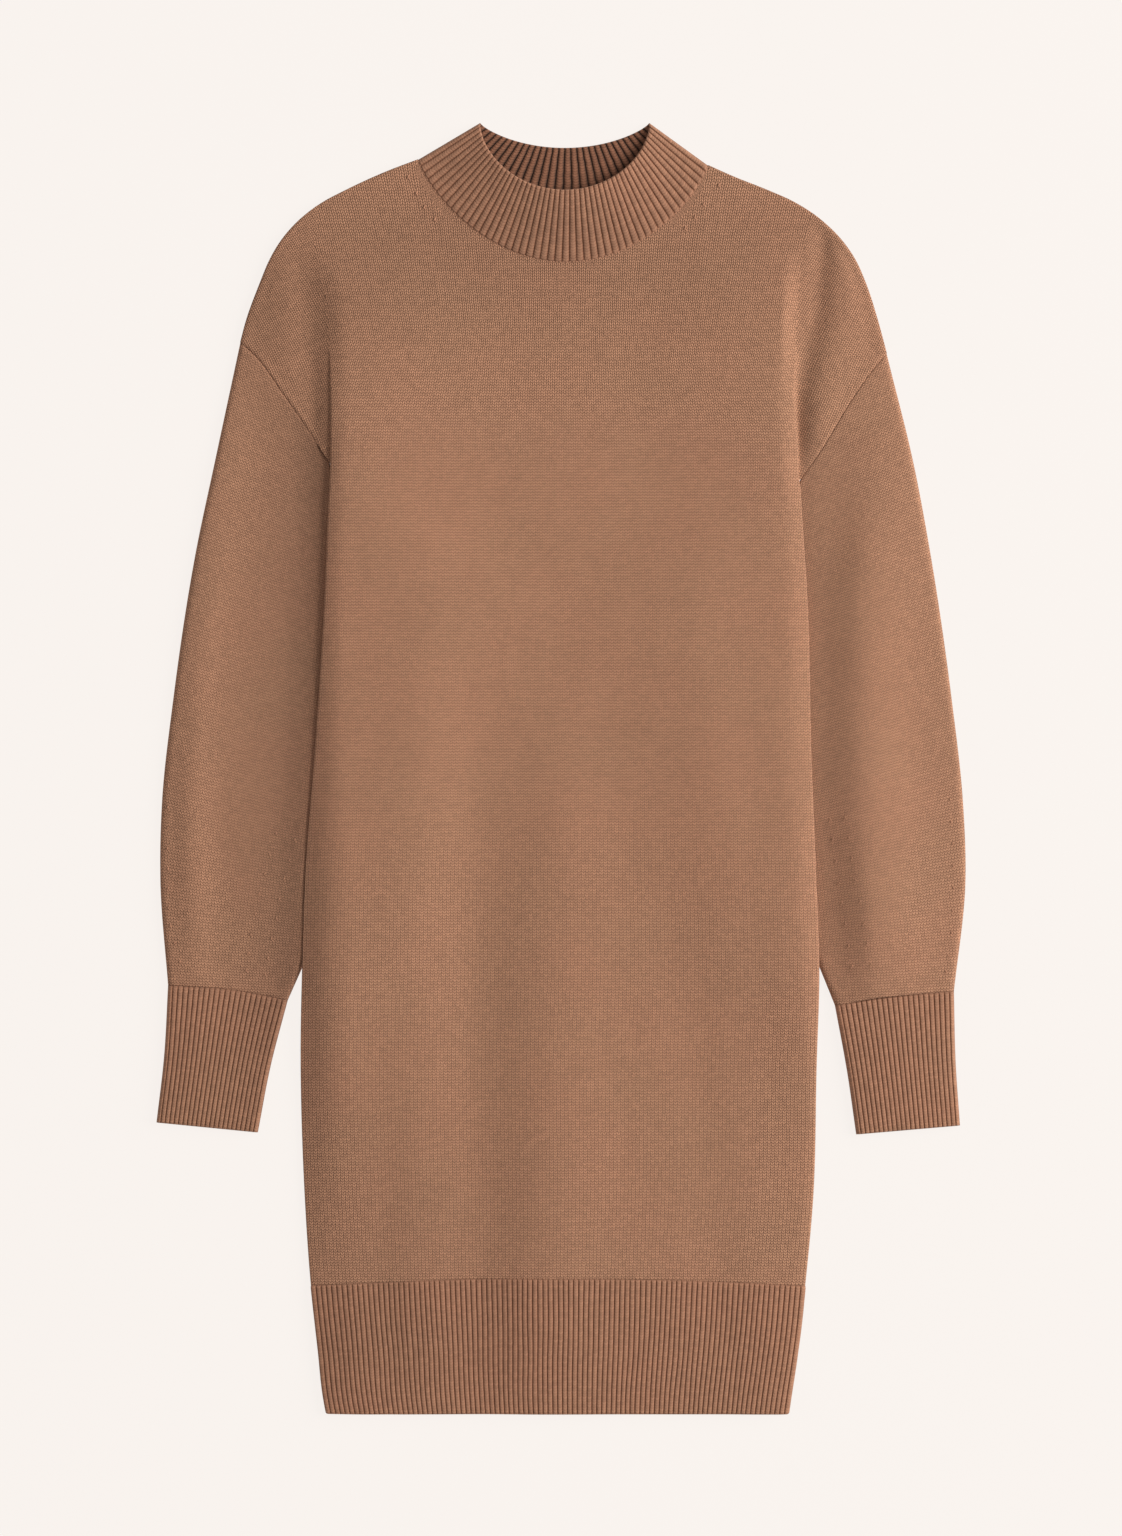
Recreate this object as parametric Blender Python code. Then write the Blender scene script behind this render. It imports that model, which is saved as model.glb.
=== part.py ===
"""A sweater dress laid flat, front up, as nine knitted pieces that are each a closed wall.

The tables are in millimetres and the scene is in metres. X runs across the dress, Y from the hem
to the collar, and Z up from the surface that it lies on. "up" is the height above the hem's edge,
"across" and "left" or "right" are distances from the middle, and "share" runs from 0 to 1.
"""

import bmesh
import bpy
import numpy as np

METRES = 0.001

# Driving sizes
LENGTH = 904.8
WALL = 2.2
RIB_WALL = 2.4
RIB_RISE = 0.8
SEAM_GAP = 0.3
SEAM_AIR = 0.8  # between the two walls where they are sewn
SLACK = 1.7  # more air in the middle of the body
PUFF = 1.0  # more again beside the rolled side edges
PUFF_REACH = 30.0
ROLL = 14.0  # width of the body's rolled side edges
FOLD_ROUND = 3.0  # radius of a tube's folded edges
SLEEVE_PUFF = 8.0  # width of the round along a sleeve's edges
OVER_SLEEVE = 5.6  # how far the body is lifted where it lies over a sleeve
LIFT_PLATEAU = 8.0
BACK_RAMP = 45.0
FRONT_RAMP = 60.0
LIFT_ENDS = 170.0  # height at which the body lies on the ground again
LIFT_FADE = 130.0

HEM_SEAM = 90.0
HEM_BOW = 5.0  # how far the hem seam rises in the middle
HEM_RIBS = 96
CUFF_RIBS = 23
COLLAR_FRONT_RIBS = 50
COLLAR_BACK_RIBS = 30
RIB_SHAPE = (0.0, 1.0, 1.0)  # valley, then the two sides of the flat top
HEM_EDGE_RIBS = 4  # ribs on each rolled edge
HEM_JOIN = 4  # ribs from one joined point to the next between them

NECK_MIDDLE = 1.4
NECK_HALF = 101.6
FRONT_DROP = 70.0
BACK_DROP = 37.0
DROP_POWER = 0.77
RIM_MIDDLE = 2.6
RIM_HALF = 59.3
RIM_UP = 904.8
FRONT_RIM_DROP = 48.2
BACK_RIM_DROP = 17.4
RIM_POWER = 0.55
BACK_RIM_POWER = 0.8
COLLAR_AIR = 0.4
COLLAR_OPEN = 3.0  # more air under the front rim
OPEN_TO_RIM = 1.5  # how late it opens towards the rim, as a power
OPEN_TO_FOLDS = 0.7  # how late it closes towards the folds


def table(columns, *rows):
    """One array for each named column."""
    return dict(zip(columns.split(), np.array(rows, float).T))


SIDE_EDGES = table(
    "up left right",
    (0, -164.3, 159.4),
    (10, -166.3, 160.9),
    (45, -170.4, 166.2),
    (90, -175.4, 171.3),
    (150, -179.6, 176.8),
    (247, -182.4, 179.2),
    (311, -181.2, 180.8),
    (387, -178.6, 178.2),
    (458, -173.0, 175.4),
    (565, -166.0, 172.8),
    (640, -162.8, 168.2),
    (665, -161.5, 166.9),
)
FOLD_LINE_LEFT = table(
    "across up",
    (-161.5, 665.5),
    (-161.4, 709.0),
    (-162.4, 745.0),
    (-165.0, 782.0),
    (-172.0, 815.0),
    (-182.4, 839.1),
)
FOLD_LINE_RIGHT = table(
    "across up",
    (166.9, 653.6),
    (165.3, 690.0),
    (165.0, 735.0),
    (165.8, 775.0),
    (168.8, 808.0),
    (175.4, 842.6),
)
ARMHOLE_LEFT = table(
    "across up",
    (-161.5, 665.5),
    (-181.5, 695.6),
    (-195.8, 715.9),
    (-213.0, 739.7),
    (-224.8, 750.9),
)
ARMHOLE_RIGHT = table(
    "across up",
    (166.9, 653.6),
    (183.3, 676.7),
    (200.5, 705.4),
    (217.6, 730.6),
    (228.3, 743.2),
)
SHOULDER_LEFT = table(
    "across up",
    (-224.8, 750.9),
    (-220.9, 765.6),
    (-210.4, 793.6),
    (-197.1, 821.6),
    (-182.4, 839.1),
)
SHOULDER_RIGHT = table(
    "across up",
    (228.3, 743.2),
    (222.3, 765.6),
    (206.9, 807.6),
    (190.0, 831.0),
    (175.4, 842.6),
)
NECK_SLOPE_LEFT = table(
    "across up",
    (-182.4, 839.1),
    (-152.3, 856.6),
    (-122.2, 870.6),
    (-100.2, 879.0),
)
NECK_SLOPE_RIGHT = table(
    "across up",
    (175.4, 842.6),
    (146.0, 856.6),
    (120.0, 867.4),
    (103.0, 875.0),
)
# How far inwards a sleeve reaches under the body
HIDDEN_EDGE = table(
    "up left right",
    (180, -212.0, 207.0),
    (289, -191.6, 192.0),
    (310, -181.0, 182.0),
    (366, -158.0, 160.0),
    (430, -133.0, 136.0),
    (500, -113.0, 117.0),
    (555, -103.0, 106.0),
    (580, -109.0, 114.0),
    (605, -128.0, 133.0),
    (622, -143.0, 150.0),
    (640, -158.0, 164.0),
)
UNDERARM_LEFT = table("across up", (-151.0, 618.0), (-132.0, 596.0), (-107.5, 562.0))
UNDERARM_RIGHT = table("across up", (156.0, 608.0), (136.0, 585.0), (111.5, 552.0))
SLEEVE_OUTER_LEFT = table(
    "across up",
    (-224.8, 750.9),
    (-242.6, 667.6),
    (-255.9, 604.6),
    (-272.0, 499.6),
    (-279.7, 429.6),
    (-280.9, 373.0),
    (-275.5, 300.1),
)
SLEEVE_OUTER_RIGHT = table(
    "across up",
    (228.3, 743.2),
    (246.8, 667.6),
    (258.7, 604.6),
    (274.1, 499.6),
    (281.8, 429.6),
    (283.6, 373.0),
    (275.5, 295.9),
)
SLEEVE_INNER_LEFT = table(
    "across up", (-107.5, 562.0), (-113.0, 500.0), (-133.0, 430.0), (-158.0, 366.0), (-191.6, 289.6)
)
SLEEVE_INNER_RIGHT = table(
    "across up", (111.5, 552.0), (117.0, 500.0), (136.0, 430.0), (160.0, 366.0), (192.0, 286.1)
)
CUFF_SEAM_LEFT = table(
    "across up", (-275.5, 300.1), (-242.1, 298.3), (-216.0, 294.8), (-191.6, 289.6)
)
CUFF_SEAM_RIGHT = table(
    "across up", (275.5, 295.9), (246.1, 294.0), (219.9, 291.3), (192.0, 286.1)
)
CUFF_EDGES_LEFT = table(
    "share outer_across outer_up inner_across inner_up",
    (0.0, -275.5, 300.1, -191.6, 289.6),
    (0.45, -278.0, 254.0, -203.0, 246.0),
    (1.0, -283.6, 204.2, -212.5, 197.2),
)
CUFF_EDGES_RIGHT = table(
    "share outer_across outer_up inner_across inner_up",
    (0.0, 275.5, 295.9, 192.0, 286.1),
    (0.45, 276.5, 251.0, 200.0, 243.0),
    (1.0, 279.7, 202.1, 206.9, 195.8),
)
# Long soft troughs in the body's front: a row for each place along the trough's middle
TROUGH_MIDDLE = table(
    "up across depth",
    (0, -51, 1.3),
    (95, -51, 1.8),
    (250, -50, 2.1),
    (430, -51, 1.2),
    (560, -52, 0),
)
TROUGH_RIGHT = table(
    "up across depth",
    (0, 128, 0.8),
    (110, 122, 1.2),
    (300, 92, 1.4),
    (480, 82, 1.0),
    (580, 78, 0),
)
TROUGH_SIDE = table(
    "up across depth",
    (90, 158, 0),
    (210, 153, 1.0),
    (330, 138, 1.2),
    (460, 132, 1.0),
    (570, 130, 0),
)
TROUGH_WIDTHS = (22.0, 13.0, 12.0)
# A ridge along each sleeve, measured across from its outer edge
SLEEVE_RIDGE_LEFT = table(
    "share across height", (0, 16, 0), (0.2, 22, 1.4), (0.6, 22, 2.4), (0.9, 30, 2.4), (1, 36, 1.4)
)
SLEEVE_RIDGE_RIGHT = table(
    "share across height", (0, 45, 0), (0.2, 58, 1.4), (0.6, 66, 2.8), (0.9, 64, 2.8), (1, 54, 1.4)
)
RIDGE_WIDTH = 26.0

LOWER_ROWS = (0, 0.05, 0.11, 0.17, 0.23, 0.29, 0.35, 0.41, 0.47, 0.53)
LOWER_ROWS += (0.59, 0.65, 0.71, 0.77, 0.83, 0.88, 0.92, 0.955, 0.978, 1)
TUCK_SHARE = 0.045  # over this last share of the lower rows the body climbs onto the sleeve
UPPER_ROWS = np.linspace(0, 1, 9)
TIP_ROW = 4  # the upper row that ends at the armhole's top
PUFF_ENDS = 0.85
EDGE_COLUMNS = (0, 0.006, 0.015, 0.03, 0.055, 0.095, 0.145, 0.19)
NECK_CORNER = 0.23  # share across where the shoulder ends and the neck begins
NECK_COLUMNS = 20
SHOULDER_COLUMNS = (1, 0.67, 0.33)
SLEEVE_ROWS = (0, 0.03, 0.08, 0.15, 0.24, 0.34, 0.44, 0.54, 0.64, 0.74, 0.83, 0.91, 0.96, 1)
HEM_ROWS = (0, 0.5, 1)
CUFF_ROWS = (0, 0.45, 1)
COLLAR_ROWS = (0, 0.33, 0.67, 1)

FOLD_POINTS = (1.0, 3.0, 8.0)  # distances from a sleeve's folds that have points
UNDERARM_POINTS = 4
RIM_POINTS = 97
SAME_POINT = 1e-6
CLOSE = 1e-9

PLAIN_COLOUR = (0.367, 0.191, 0.114, 1)
RIB_COLOUR = (0.3, 0.15, 0.092, 1)
YARN_ROUGHNESS = 0.9


def read(curve, key, value, at):
    """A smooth curve through the table's points, read where its key column is at."""
    keys, values = curve[key], curve[value]
    if keys[0] > keys[-1]:
        keys, values = keys[::-1], values[::-1]
    slopes = np.gradient(values, keys)
    low = np.clip(np.searchsorted(keys, at) - 1, 0, len(keys) - 2)
    step = keys[low + 1] - keys[low]
    t = np.clip((at - keys[low]) / step, 0, 1)
    start = (1 + 2 * t) * (1 - t) ** 2 * values[low] + t * (1 - t) ** 2 * step * slopes[low]
    end = t * t * (3 - 2 * t) * values[low + 1] + t * t * (t - 1) * step * slopes[low + 1]
    return start + end


def on_curve(curve, share):
    """Points (across, up) at these shares of the length of a smooth curve through a table."""
    corners = np.stack([curve["across"], curve["up"]], 1)
    walked = np.r_[0, np.cumsum(np.linalg.norm(np.diff(corners, axis=0), axis=1))]
    walk = {"walked": walked / walked[-1], "across": corners[:, 0], "up": corners[:, 1]}
    return np.stack([read(walk, "walked", name, share) for name in ("across", "up")], -1)


def on_chain(corners, share):
    """Points at these shares of the length of straight lines between the corners."""
    walked = np.r_[0, np.cumsum(np.linalg.norm(np.diff(corners, axis=0), axis=1))]
    return np.stack([np.interp(share, walked / walked[-1], corners[:, i]) for i in (0, 1)], -1)


def rounded(share):
    """A quarter round: upright at 0 and level at 1."""
    share = np.clip(share, 0, 1)
    return np.sqrt(1 - (1 - share) ** 2)


def eased(share):
    share = np.clip(share, 0, 1)
    return share * share * (3 - 2 * share)


def mixed(start, end, share):
    return start + (end - start) * share


def crown(share):
    """0 at both ends and 1 in the middle."""
    return np.clip(4 * share * (1 - share), 0, 1)


def len_of(corners):
    return np.linalg.norm(np.diff(corners, axis=0), axis=1).sum()


def filled(bottom, top, left, right, u, v):
    """The grid of points between four edge curves: u across, v from bottom to top."""
    u, v = u[None, :, None], v[:, None, None]
    between = (1 - v) * bottom[None] + v * top[None] + (1 - u) * left[:, None] + u * right[:, None]
    corners = mixed(mixed(bottom[0], bottom[-1], u), mixed(top[0], top[-1], u), v)
    return between - corners


def trough_depth(across, up):
    depth = np.zeros_like(across)
    for width, path in zip(TROUGH_WIDTHS, (TROUGH_MIDDLE, TROUGH_RIGHT, TROUGH_SIDE)):
        away = (across - read(path, "up", "across", up)) / width
        depth += read(path, "up", "depth", up) * np.exp(-away * away)
    return depth


def lift(across, up, climbed, ramp):
    """How far a panel is lifted, as it lies over both sleeves' inner edges."""
    past_left = across - read(HIDDEN_EDGE, "up", "left", up) - LIFT_PLATEAU
    past_right = read(HIDDEN_EDGE, "up", "right", up) - across - LIFT_PLATEAU
    near = eased(1 - past_left / ramp) + eased(1 - past_right / ramp)
    return OVER_SLEEVE * climbed * eased((up - LIFT_ENDS) / LIFT_FADE) * near


def columns():
    """Shares across the body, closer at the rolled edges and at the corners of the neck."""
    edge = np.array(EDGE_COLUMNS)
    turn = np.linspace(0, np.pi, NECK_COLUMNS + 1)
    neck = 0.5 - (0.5 - NECK_CORNER) * np.cos(turn)
    return np.r_[edge, neck, 1 - edge[::-1]]


def neck_chain(drop):
    """The neck seam's corners from left to right."""
    t = -np.cos(np.linspace(0, np.pi, NECK_COLUMNS + 1))
    tilt = mixed(NECK_SLOPE_LEFT["up"][-1], NECK_SLOPE_RIGHT["up"][-1], (t + 1) / 2)
    fall = drop * np.clip(1 - t * t, 0, 1) ** DROP_POWER
    return np.stack([NECK_MIDDLE + NECK_HALF * t, tilt - fall], -1)


def body_top(drop):
    """The top edge of a panel: shoulder, neck and shoulder, one point for each column."""
    edge = np.array(EDGE_COLUMNS) / NECK_CORNER
    left = on_curve(NECK_SLOPE_LEFT, edge)
    right = on_curve(NECK_SLOPE_RIGHT, edge)[::-1]
    return np.concatenate([left, neck_chain(drop), right])


def body_plan(drop):
    """Points (across, up) of a panel between its side edges, below and above the underarm."""
    u, v = columns(), np.array(LOWER_ROWS)
    rows_left = mixed(HEM_SEAM, FOLD_LINE_LEFT["up"][0], v)
    rows_right = mixed(HEM_SEAM, FOLD_LINE_RIGHT["up"][0], v)
    left = np.stack([read(SIDE_EDGES, "up", "left", rows_left), rows_left], -1)
    right = np.stack([read(SIDE_EDGES, "up", "right", rows_right), rows_right], -1)
    left[-1] = on_curve(FOLD_LINE_LEFT, 0.0)
    right[-1] = on_curve(FOLD_LINE_RIGHT, 0.0)
    lower = mixed(left[:, None], right[:, None], u[None, :, None])
    lower[:, :, 1] += HEM_BOW * crown(u) * (1 - v)[:, None]
    upper = filled(
        lower[-1],
        body_top(drop),
        on_curve(FOLD_LINE_LEFT, UPPER_ROWS),
        on_curve(FOLD_LINE_RIGHT, UPPER_ROWS),
        u,
        UPPER_ROWS,
    )
    return np.concatenate([lower, upper[1:]])


def shoulder_rim(armhole, shoulder):
    """One point for each upper row: up the armhole seam to its tip, then along the shoulder."""
    tip = UPPER_ROWS[TIP_ROW]
    lower = on_curve(armhole, UPPER_ROWS[:TIP_ROW] / tip)
    upper = on_curve(shoulder, (UPPER_ROWS[TIP_ROW:] - tip) / (1 - tip))
    return np.concatenate([lower, upper])


def with_shoulders(middle, rim_height):
    """A panel's grid with the columns outside its fold lines, which close up below the underarm."""
    first = len(LOWER_ROWS) - 1
    blocks = []
    for column, rim in ((0, RIM_LEFT), (-1, RIM_RIGHT)):
        block = np.repeat(middle[:, [column]], len(SHOULDER_COLUMNS), axis=1)
        fold = middle[first:, column]
        edge = np.column_stack([rim, np.full(len(rim), rim_height)])
        edge[0] = fold[0]
        for i, share in enumerate(SHOULDER_COLUMNS):
            block[first:, i] = mixed(fold, edge, share)
        blocks.append(block)
    return np.concatenate([blocks[0], middle, blocks[1][:, ::-1]], 1)


RIM_LEFT = shoulder_rim(ARMHOLE_LEFT, SHOULDER_LEFT)
RIM_RIGHT = shoulder_rim(ARMHOLE_RIGHT, SHOULDER_RIGHT)


def climb_and_fade():
    """For each row: how far the body has climbed onto the sleeves, and how far its roll holds."""
    climbed = np.r_[eased((1 - np.array(LOWER_ROWS)) / TUCK_SHARE), 0 * UPPER_ROWS[1:]]
    held = np.r_[np.ones(len(LOWER_ROWS)), eased(1 - UPPER_ROWS[1:] / PUFF_ENDS)]
    return climbed[:, None], held[:, None]


def insets(plan):
    """How far each point lies from the nearer side edge."""
    left = np.abs(plan[..., 0] - plan[:, :1, 0])
    right = np.abs(plan[..., 0] - plan[:, -1:, 0])
    return np.minimum(left, right)


def front_full(across, up, inset, climbed, held):
    """Height of the front's outer face away from its rolled edges."""
    beyond = np.clip(inset - ROLL, 0, None) / PUFF_REACH
    air = SEAM_AIR + held * (SLACK + PUFF * np.exp(-beyond * beyond))
    air -= held * trough_depth(across, up)
    return lift(across, up, climbed, FRONT_RAMP) + WALL + air + WALL


def normals(points):
    """Unit vectors across a grid's columns, on the side that faces up."""
    run = np.gradient(points, axis=1)
    flat = np.hypot(run[..., 0], run[..., 1])
    out = np.dstack([-run[..., 0] * run[..., 2] / flat, -run[..., 1] * run[..., 2] / flat, flat])
    return out / np.linalg.norm(out, axis=-1, keepdims=True)


def front_faces(plan, climbed, held, wall):
    """The front's outer points and the way each faces. Its side edges roll down to the back."""
    across, up = plan[..., 0], plan[..., 1]
    inset = insets(plan)
    facing_up = np.sqrt(1 - np.clip(climbed, 0, 1) ** 2)
    edge = lift(across, up, climbed, BACK_RAMP) + WALL + SEAM_GAP + wall * facing_up
    edge += (SEAM_AIR - SEAM_GAP) * (1 - climbed)
    full = front_full(across, up, inset, climbed, held)
    width = ROLL * (2 - held)
    height = mixed(edge, full, rounded(inset / width))
    outer = np.dstack([across, up, height])
    facing = normals(outer)
    side = np.concatenate([-climbed, 0 * climbed, facing_up], 1)
    facing[:, 0] = side
    facing[:, -1] = side * (-1, 1, 1)
    return outer, facing


def place(point):
    return (point[0] * METRES, (point[1] - LENGTH / 2) * METRES, point[2] * METRES)


def material(name):
    made = bpy.data.materials.new(name + "_yarn")
    made.use_nodes = True
    shader = made.node_tree.nodes["Principled BSDF"]
    plain = name.startswith(("body", "sleeve"))
    shader.inputs["Base Color"].default_value = PLAIN_COLOUR if plain else RIB_COLOUR
    shader.inputs["Roughness"].default_value = YARN_ROUGHNESS
    shader.inputs["Metallic"].default_value = 0.0
    return made


def pairs(items, ring):
    """Neighbours in a list, and on a ring the last with the first too."""
    found = list(zip(items, items[1:]))
    return found + [(items[-1], items[0])] if ring else found


def stretch(row, start, end):
    """The points from start to end, going on past the last to the first on a ring."""
    return row[start : end + 1] if end > start else row[start:] + row[: end + 1]


def wall_object(name, outer, inner, outer_knots, inner_knots, ring):
    """A closed wall between two grids of points, whose end rows are joined at the knots."""
    mesh = bmesh.new()
    outside, inside = (
        [[mesh.verts.new(place(point)) for point in row] for row in grid] for grid in (outer, inner)
    )
    for rows in (outside, inside):
        for low, high in zip(rows, rows[1:]):
            for a, b in pairs(range(len(low)), ring):
                mesh.faces.new((low[a], low[b], high[b], high[a]))
    for end in (0, -1):
        for (a, b), (c, d) in zip(pairs(outer_knots, ring), pairs(inner_knots, ring)):
            mesh.faces.new(stretch(outside[end], a, b) + stretch(inside[end], c, d)[::-1])
    if not ring:
        for side in (0, -1):
            for (a, b), (c, d) in zip(pairs(outside, ring), pairs(inside, ring)):
                mesh.faces.new((a[side], b[side], d[side], c[side]))
    bmesh.ops.remove_doubles(mesh, verts=mesh.verts, dist=SAME_POINT)
    bmesh.ops.recalc_face_normals(mesh, faces=mesh.faces)
    data = bpy.data.meshes.new(name)
    mesh.to_mesh(data)
    mesh.free()
    data.shade_smooth()
    piece = bpy.data.objects.new(name, data)
    DRESS.objects.link(piece)
    piece.data.materials.append(material(name))


def sheet_object(name, outer, inner, knots=None):
    """A wall with four edges. The knots are the outer columns that the inner ones lie under."""
    inner_knots = range(len(inner[0]))
    wall_object(name, outer, inner, list(knots or inner_knots), list(inner_knots), False)


def body_front():
    climbed, held = climb_and_fade()
    outer, facing = front_faces(body_plan(FRONT_DROP), climbed, held, WALL)
    inner = outer - facing * WALL
    inside = WALL + SEAM_AIR
    sheet_object("body_front", with_shoulders(outer, inside + WALL), with_shoulders(inner, inside))


def body_back():
    plan = body_plan(BACK_DROP)
    climbed, _ = climb_and_fade()
    under = np.dstack([plan, lift(plan[..., 0], plan[..., 1], climbed, BACK_RAMP)])
    thick = WALL / normals(under)[..., 2]
    top = under + np.dstack([0 * plan, thick])
    sheet_object("body_back", with_shoulders(under, 0), with_shoulders(top, WALL))


def hem_plan(share_across):
    """Points (across, up) of the hem band, from just under its seam down to its edge."""
    down = np.array(HEM_ROWS)[:, None]
    ends = mixed(HEM_SEAM - SEAM_GAP, 0, down)
    left = read(SIDE_EDGES, "up", "left", ends)
    right = read(SIDE_EDGES, "up", "right", ends)
    up = ends + HEM_BOW * crown(share_across) * (1 - down)
    return np.dstack([mixed(left, right, share_across), up])


def rib_heights(count):
    """The rise at each point across this many ribs, with a valley at both ends."""
    return np.r_[np.tile(RIB_SHAPE, count), 0] * RIB_RISE


def rib_points(count):
    return np.linspace(0, 1, count * len(RIB_SHAPE) + 1)


def hem_rib_front():
    plan = hem_plan(rib_points(HEM_RIBS))
    whole = np.ones((len(HEM_ROWS), 1))
    valley, facing = front_faces(plan, whole, whole, RIB_WALL)
    outer = valley + facing * rib_heights(HEM_RIBS)[:, None]
    ribs = [*range(HEM_EDGE_RIBS), *range(HEM_EDGE_RIBS, HEM_RIBS - HEM_EDGE_RIBS, HEM_JOIN)]
    ribs += range(HEM_RIBS - HEM_EDGE_RIBS, HEM_RIBS + 1)
    knots = [rib * len(RIB_SHAPE) for rib in ribs]
    sheet_object("hem_rib_front", outer, (valley - facing * RIB_WALL)[:, knots], knots)


def hem_rib_back():
    under = np.dstack([hem_plan(columns()), np.zeros((len(HEM_ROWS), len(columns())))])
    sheet_object("hem_rib_back", under, under + (0, 0, WALL))


def flat_tube(name, plan, ceiling, widths, wall, rounds, outside, inside, joins):
    """A tube pressed flat. Everything in pairs has its upper half first.

    outside and inside hold where their points lie across and how far their ribs rise there, and
    joins where both have a point. plan and ceiling give a row's points and its inner height.
    """
    grids = ([], [])
    for i, width in enumerate(widths):
        fold = (wall + ceiling(i, 0.0)) / 2
        for within, grid in enumerate(grids):
            halves = []
            for half, (share, rise) in enumerate((outside, inside)[within]):
                levels = (ceiling(i, share) + wall * (1 - within), wall * within)
                edge = rounded(np.minimum(share, 1 - share) * width / rounds[half])
                height = mixed(fold, levels[half], edge) + rise * edge
                inset = within * wall / width
                halves.append(np.column_stack([plan(i, half, mixed(inset, 1 - inset, share)), height]))
            upper, lower = halves
            grid.append(np.concatenate([lower[:1], upper[1:-1], lower[:0:-1]]))
    knots = []
    for (upper, _), (lower, _) in (outside, inside):
        over = np.searchsorted(upper, joins[0] - CLOSE)
        below = np.searchsorted(lower, joins[1] - CLOSE)[-2:0:-1]
        knots.append([*over, *(len(upper) + len(lower) - 2 - below)])
    wall_object(name, *grids, *knots, True)


def sleeve_top(rim, side_edge, underarm):
    """The corners of a sleeve's top end, from its tip down the armhole and under the body."""
    armhole = rim[: TIP_ROW + 1][::-1]
    beside_body = side_edge[-3:-1][::-1]
    hidden = on_curve(underarm, np.linspace(0, 1, UNDERARM_POINTS))
    return np.concatenate([armhole, beside_body, hidden])


def sleeve(name, chain, outer_edge, inner_edge, seam, ridge):
    walked = np.r_[0, np.cumsum(np.linalg.norm(np.diff(chain, axis=0), axis=1))]
    near_fold = np.array(FOLD_POINTS) / walked[-1]
    share = np.unique(np.r_[walked / walked[-1], near_fold, 1 - near_fold])
    run = np.gradient(chain, axis=0)
    away = np.stack([run[:, 1], -run[:, 0]], -1)
    away *= np.sign(away[:, :1] * outer_edge["across"][0])
    away *= SEAM_GAP / np.linalg.norm(away, axis=1, keepdims=True)
    top, gap = (
        np.stack([np.interp(share, walked / walked[-1], points[:, i]) for i in (0, 1)], -1)
        for points in (chain, away)
    )
    rows = np.array(SLEEVE_ROWS)
    left, right = on_curve(outer_edge, rows), on_curve(inner_edge, rows)
    grid = filled(top, on_curve(seam, share), left, right, share, rows)
    grid[0] += gap
    grid[-1] += (0, SEAM_GAP)
    widths = np.linalg.norm(np.diff(grid, axis=1), axis=2).sum(1)

    def plan(i, half, at):
        return np.stack([np.interp(at, share, grid[i, :, k]) for k in (0, 1)], -1)

    def ceiling(i, at):
        off = (at * widths[i] - read(ridge, "share", "across", rows[i])) / RIDGE_WIDTH
        return WALL + SEAM_AIR + read(ridge, "share", "height", rows[i]) * np.exp(-off * off)

    plain = ((share, 0), (share, 0))
    rounds = (SLEEVE_PUFF, FOLD_ROUND)
    flat_tube(name, plan, ceiling, widths, WALL, rounds, plain, plain, (share, share))


def rib_joins(count):
    """Shares at which a ribbed half is joined: at each rib by the folds, and at every second."""
    return np.array([0, 1, *range(2, count - 1, 2), count - 1, count]) / count


def cuff(name, seam, edges):
    rows = np.array(CUFF_ROWS)
    outer, inner = (
        np.stack([read(edges, "share", side + way, rows) for way in ("across", "up")], -1)
        for side in ("outer_", "inner_")
    )

    def plan(i, half, at):
        at = at[:, None]
        bow = on_curve(seam, at[:, 0]) - mixed(on_curve(seam, 0.0), on_curve(seam, 1.0), at)
        return mixed(outer[i], inner[i], at) + bow * (1 - rows[i])

    def ceiling(i, at):
        return RIB_WALL + SEAM_AIR

    joins = rib_joins(CUFF_RIBS)
    outside = ((rib_points(CUFF_RIBS), rib_heights(CUFF_RIBS)), (joins, 0))
    widths = np.linalg.norm(outer - inner, axis=1)
    rounds = (FOLD_ROUND, FOLD_ROUND)
    inside = ((joins, 0), (joins, 0))
    flat_tube(name, plan, ceiling, widths, RIB_WALL, rounds, outside, inside, (joins, joins))


def collar_base(drop):
    """The neck seam's corners, moved inwards by the seam's gap."""
    chain = neck_chain(drop)
    run = np.gradient(chain, axis=0)
    inwards = np.stack([-run[:, 1], run[:, 0]], -1)
    return chain + inwards * SEAM_GAP / np.linalg.norm(inwards, axis=1, keepdims=True)


def rim_line(drop, power):
    t = -np.cos(np.linspace(0, np.pi, RIM_POINTS))
    fall = drop * np.clip(1 - t * t, 0, 1) ** power
    return np.stack([RIM_MIDDLE + RIM_HALF * t, RIM_UP - fall], -1)


def collar():
    rows = np.array(COLLAR_ROWS)
    bases = (collar_base(FRONT_DROP), collar_base(BACK_DROP))
    rims = (rim_line(FRONT_RIM_DROP, RIM_POWER), rim_line(BACK_RIM_DROP, BACK_RIM_POWER))

    def plan(i, half, at):
        return mixed(on_chain(bases[half], at), on_chain(rims[half], at), rows[i])

    def ceiling(i, at):
        opened = COLLAR_OPEN * rows[i] ** OPEN_TO_RIM * crown(at) ** OPEN_TO_FOLDS
        return RIB_WALL + RIB_RISE + COLLAR_AIR + opened

    widths = mixed(len_of(bases[0]), len_of(rims[0]), rows)
    front, back = rib_joins(COLLAR_FRONT_RIBS), rib_joins(COLLAR_BACK_RIBS)
    outside = ((rib_points(COLLAR_FRONT_RIBS), rib_heights(COLLAR_FRONT_RIBS)), (back, 0))
    inside = ((front, 0), (rib_points(COLLAR_BACK_RIBS), rib_heights(COLLAR_BACK_RIBS)))
    rounds = (FOLD_ROUND, FOLD_ROUND)
    flat_tube("collar", plan, ceiling, widths, RIB_WALL, rounds, outside, inside, (front, back))


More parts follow.
